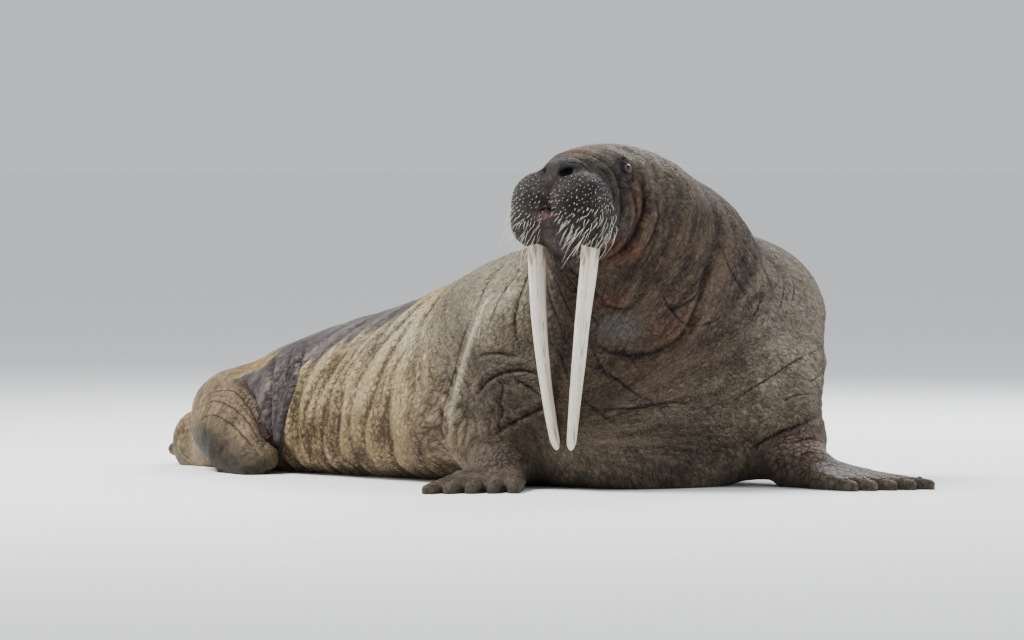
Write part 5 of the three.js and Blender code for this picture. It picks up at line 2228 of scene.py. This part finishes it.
@dataclass(frozen=True)
class Claws:
    """A small claw on each digit and toe."""

    length: float = .016
    thick: float = .0042

    def build(self, skin: "Skin", material: Material) -> Thing:
        """Sets the claws near the tips.

        Args:
            skin: The skin.
            material: The horn.

        Returns:
            The finished piece.
        """
        quills = []
        digits = [limb.digit(i) for limb in skin.animal.arms for i in range(len(limb.digits))]
        digits += [limb.toe(i) for limb in skin.animal.legs for i in range(limb.toes)]
        for joints in digits:
            middle, tip = (np.asarray(joint.at) for joint in joints[1:])
            forward = unit(tip - middle)
            above = tip - forward * .03 + np.array([0, 0, .08])
            hit, normal, _, _ = skin.rays.ray_cast(Vector(above), Vector((0, 0, -1)))
            if hit is None:
                continue
            normal = np.array(normal)
            lean = forward + normal * .28
            root = np.array(hit) - lean * .003
            quills.append(Quill(root, unit(lean), normal * -.35, self.length, self.thick))
        return grow("claws", quills, 10, material)


def tuft_recipe() -> Recipe:
    """Thin three-sided tufts of hair. Each root has the way it points and its size.

    Returns:
        The recipe.
    """
    r = Recipe("tufts", {"Sides": int, "Material": Material})
    tuft = r.made("MeshCone", Vertices=r.given["Sides"], Side_Segments=1, Radius_Top=0, Radius_Bottom=1,
                  Depth=1)
    turn = r.node("FunctionNodeAlignRotationToVector", {"axis": "Z"}, {"Vector": r.named("lean")}).outputs[0]
    r.close(r.made("InstanceOnPoints", Points=r.given["Roots"], Instance=tuft, Rotation=turn,
                   Scale=r.named("size")))
    return r


@dataclass(frozen=True)
class CoatFinish:
    """Short hair in the tones of the hide beneath it."""

    def material(self) -> Material:
        """The coat's material."""
        g = Graph("coat")
        share = Signal(g, g.attribute("pale", "Fac"))
        colour = g.mix(share, g.attribute("shade", "Color"), g.attribute("tint", "Color"))
        return g.surface(Base_Color=colour, Roughness=.62, Specular_IOR_Level=.3)


@dataclass(frozen=True)
class Coat:
    """Short hair that lies backward and down over the hide, in several pieces."""

    pieces: int = 3
    tufts: int = 44000
    length: float = .0105
    width: float = .0009
    rise: float = .26
    # side of a tuft's patch, as a share of the map, and length of the straightened animal that the map covers
    patch: float = .003
    longest: float = 2.7

    def build(self, skin: "Skin", material: Material) -> None:
        """Grows the coat on the finished skin.

        Args:
            skin: The skin.
            material: The coat's material.
        """
        skin.mesh.calc_loop_triangles()
        corners = np.zeros(len(skin.mesh.loop_triangles) * 3, int)
        skin.mesh.loop_triangles.foreach_get("vertices", corners)
        corners = corners.reshape(-1, 3)
        a, b, c = (skin.shaped[corners[:, i]] for i in range(3))
        flat = np.cross(b - a, c - a)
        area = np.linalg.norm(flat, axis=1) / 2
        normals = np.zeros_like(skin.shaped)
        for i in range(3):
            for axis in range(3):
                normals[:, axis] += np.bincount(corners[:, i], flat[:, axis], len(normals))
        normals = unit(normals)
        furred = (1 - ramp(skin.bare, .25, .5)) * skin.wrinkle[:, 2] * (1 - skin.hollow)
        creased = np.clip(skin.cracks.strength, 0, 1) * (np.abs(skin.cracks.gap) < .008)
        furred *= 1 - ramp(creased, .2, .5)
        chance = area * furred[corners].mean(axis=1)
        chance[(skin.shaped[corners][:, :, 2].max(axis=1) < .012) | (normals[corners[:, 0], 2] < -.75)] = 0
        rng = np.random.RandomState(SEED)
        recipe = tuft_recipe()
        for piece in range(self.pieces):
            picked = rng.choice(len(corners), self.tufts, p=chance / chance.sum())
            split = rng.dirichlet((1, 1, 1), self.tufts)
            self._piece(f"coat_{piece + 1}", skin, corners[picked], split, normals, rng, recipe, material)

    def _piece(self, name: str, skin: "Skin", corners: Array, split: Array, normals: Array,
               rng: np.random.RandomState, recipe: Recipe, material: Material) -> None:
        """Grows one piece of the coat.

        Args:
            name: The piece's name.
            skin: The skin.
            corners: The three points of the face below each tuft.
            split: Share of each of those points in the tuft's root.
            normals: The ways out of the skin at its points.
            rng: Source of chance.
            recipe: The tufts' geometry nodes.
            material: The coat's material.
        """

        def at(values: Array) -> Array:
            """Values at the tufts' roots."""
            return np.einsum("ij,ij...->i...", split, values[corners])

        out = unit(at(normals))
        lie = -at(skin.ahead) * .9 + np.array([0, 0, -.5]) + rng.normal(scale=.16, size=out.shape)
        lie = unit(lie - out * np.einsum("ij,ij->i", lie, out)[:, None])
        lean = unit(lie + out * (self.rise * rng.uniform(.6, 1.3, (len(out), 1))))
        roots = at(skin.shaped) - out * .0007
        short = .55 + .45 * at(skin.wrinkle[:, 2])
        length = self.length * short * rng.uniform(.7, 1.25, len(out))
        thick = self.width * rng.uniform(.7, 1.2, len(out))
        mesh = bpy.data.meshes.new(f"{name}_roots")
        mesh.from_pydata(roots.tolist(), [], [])
        store(mesh, "lean", lean)
        store(mesh, "size", np.column_stack([thick, thick, length]))
        Paint(at(skin.paint.dark), at(skin.paint.light)).keep(mesh)
        # Hair is paler on fold crests as painted light, with random tone.
        pale = .5 + (at(skin.fold) - FOLD_MIDDLE) * .9 + rng.normal(scale=.22, size=len(out))
        store(mesh, "pale", np.clip(pale, .05, 1.15))
        result = recipe.run(mesh, {"Sides": 3, "Material": material})
        self._unwrap(result, at(skin.straight))
        finish_piece(result, name)

    def _unwrap(self, mesh: Mesh, places: Array) -> None:
        """Gives each tuft a small patch of the map at its root's place on the straightened animal.

        Args:
            mesh: The tufts.
            places: The roots on the straightened animal.
        """
        along, left, up = places.T
        spots = np.column_stack([along / self.longest, np.arctan2(left, up) / (2 * np.pi) + .5])
        spots = np.clip(spots, .001, 1 - self.patch - .001)
        index = np.zeros(len(mesh.loops), int)
        mesh.loops.foreach_get("vertex_index", index)
        per_tuft = len(mesh.vertices) // len(places)
        corner = np.array([(0, 0), (1, 0), (0, 1), (1, 1)])[index % per_tuft % 4]
        layer = mesh.uv_layers.new(name="OFBake")
        spots = spots[index // per_tuft] + corner * self.patch
        layer.uv.foreach_set("vector", spots.astype(np.float32).ravel())


@dataclass(frozen=True)
class Lamp:
    """A soft square light that looks at the animal."""

    name: str
    at: Point
    size: float
    power: float
    colour: Colour = (1, 1, 1)

    def build(self) -> Thing:
        """Hangs the light.

        Returns:
            The light.
        """
        lamp = bpy.data.objects.new(self.name, bpy.data.lights.new(self.name, "AREA"))
        lamp.data.size = self.size
        lamp.data.energy = self.power
        lamp.data.color = self.colour
        lamp.location = self.at
        lamp.rotation_mode = "QUATERNION"
        lamp.rotation_quaternion = (Vector((.3, -.1, .35)) - Vector(self.at)).to_track_quat("-Z", "Y")
        bpy.context.scene.collection.objects.link(lamp)
        return lamp


@dataclass(frozen=True)
class Studio:
    """A pale floor, a pale sky and soft lights."""

    floor_size: float = 400
    floor_tone: Colour = (.955, .96, .965)
    sky: Colour = (.86, .89, .93)
    sky_strength: float = .78
    lamps: tuple[Lamp, ...] = (
        Lamp("key", (-1.6, -3, 5.4), 2.4, 640, (1, .98, .94)),
        Lamp("fill", (7, -2.5, 2.4), 4, 30, (.93, .96, 1)),
        Lamp("rim", (-1.5, 4.6, 4.2), 2.6, 420, (.97, .98, 1)),
        Lamp("edge", (5, 3.4, 3), 2, 150, (.97, .98, 1)),
    )

    def build(self, view: Viewpoint) -> None:
        """Sets the stage.

        Args:
            view: The photograph's view.
        """
        mesh = bpy.data.meshes.new("floor")
        s = self.floor_size / 2
        mesh.from_pydata([(-s, -s, 0), (s, -s, 0), (s, s, 0), (-s, s, 0)], [], [(0, 1, 2, 3)])
        g = Graph("floor")
        mesh.materials.append(g.surface(Base_Color=self.floor_tone, Roughness=.9, Specular_IOR_Level=.1))
        floor = bpy.data.objects.new("floor", mesh)
        bpy.context.scene.collection.objects.link(floor)
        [lamp.build() for lamp in self.lamps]
        world = bpy.data.worlds.new("sky")
        world.use_nodes = True
        background = world.node_tree.nodes["Background"]
        background.inputs["Color"].default_value = (*self.sky, 1)
        background.inputs["Strength"].default_value = self.sky_strength
        bpy.context.scene.world = world
        view.add_camera()


def main() -> None:
    """Builds the walrus, piece by piece."""
    logging.basicConfig(level=logging.INFO, format="%(message)s")
    animal = Animal()
    view = Viewpoint()
    skin = Skin(animal, view)
    skin.finish()
    eye = EyeFinish().material()
    ivory = IvoryFinish().material()
    for name, side in (("right", -1), ("left", 1)):
        Eyeball().build(f"eye_{name}", skin.eyes[side], skin.lids, animal.head, eye)
        Tusk().build(f"tusk_{name}", side, animal.head, skin.noise, ivory)
    Bristles().build(skin, HornFinish("bristle", (.62, .55, .42), (.85, .8, .68)).material())
    Claws().build(skin, HornFinish("claw", (.1, .075, .055), (.035, .028, .022), .3).material())
    Coat().build(skin, CoatFinish().material())
    Studio().build(view)


if __name__ == "__main__":
    main()
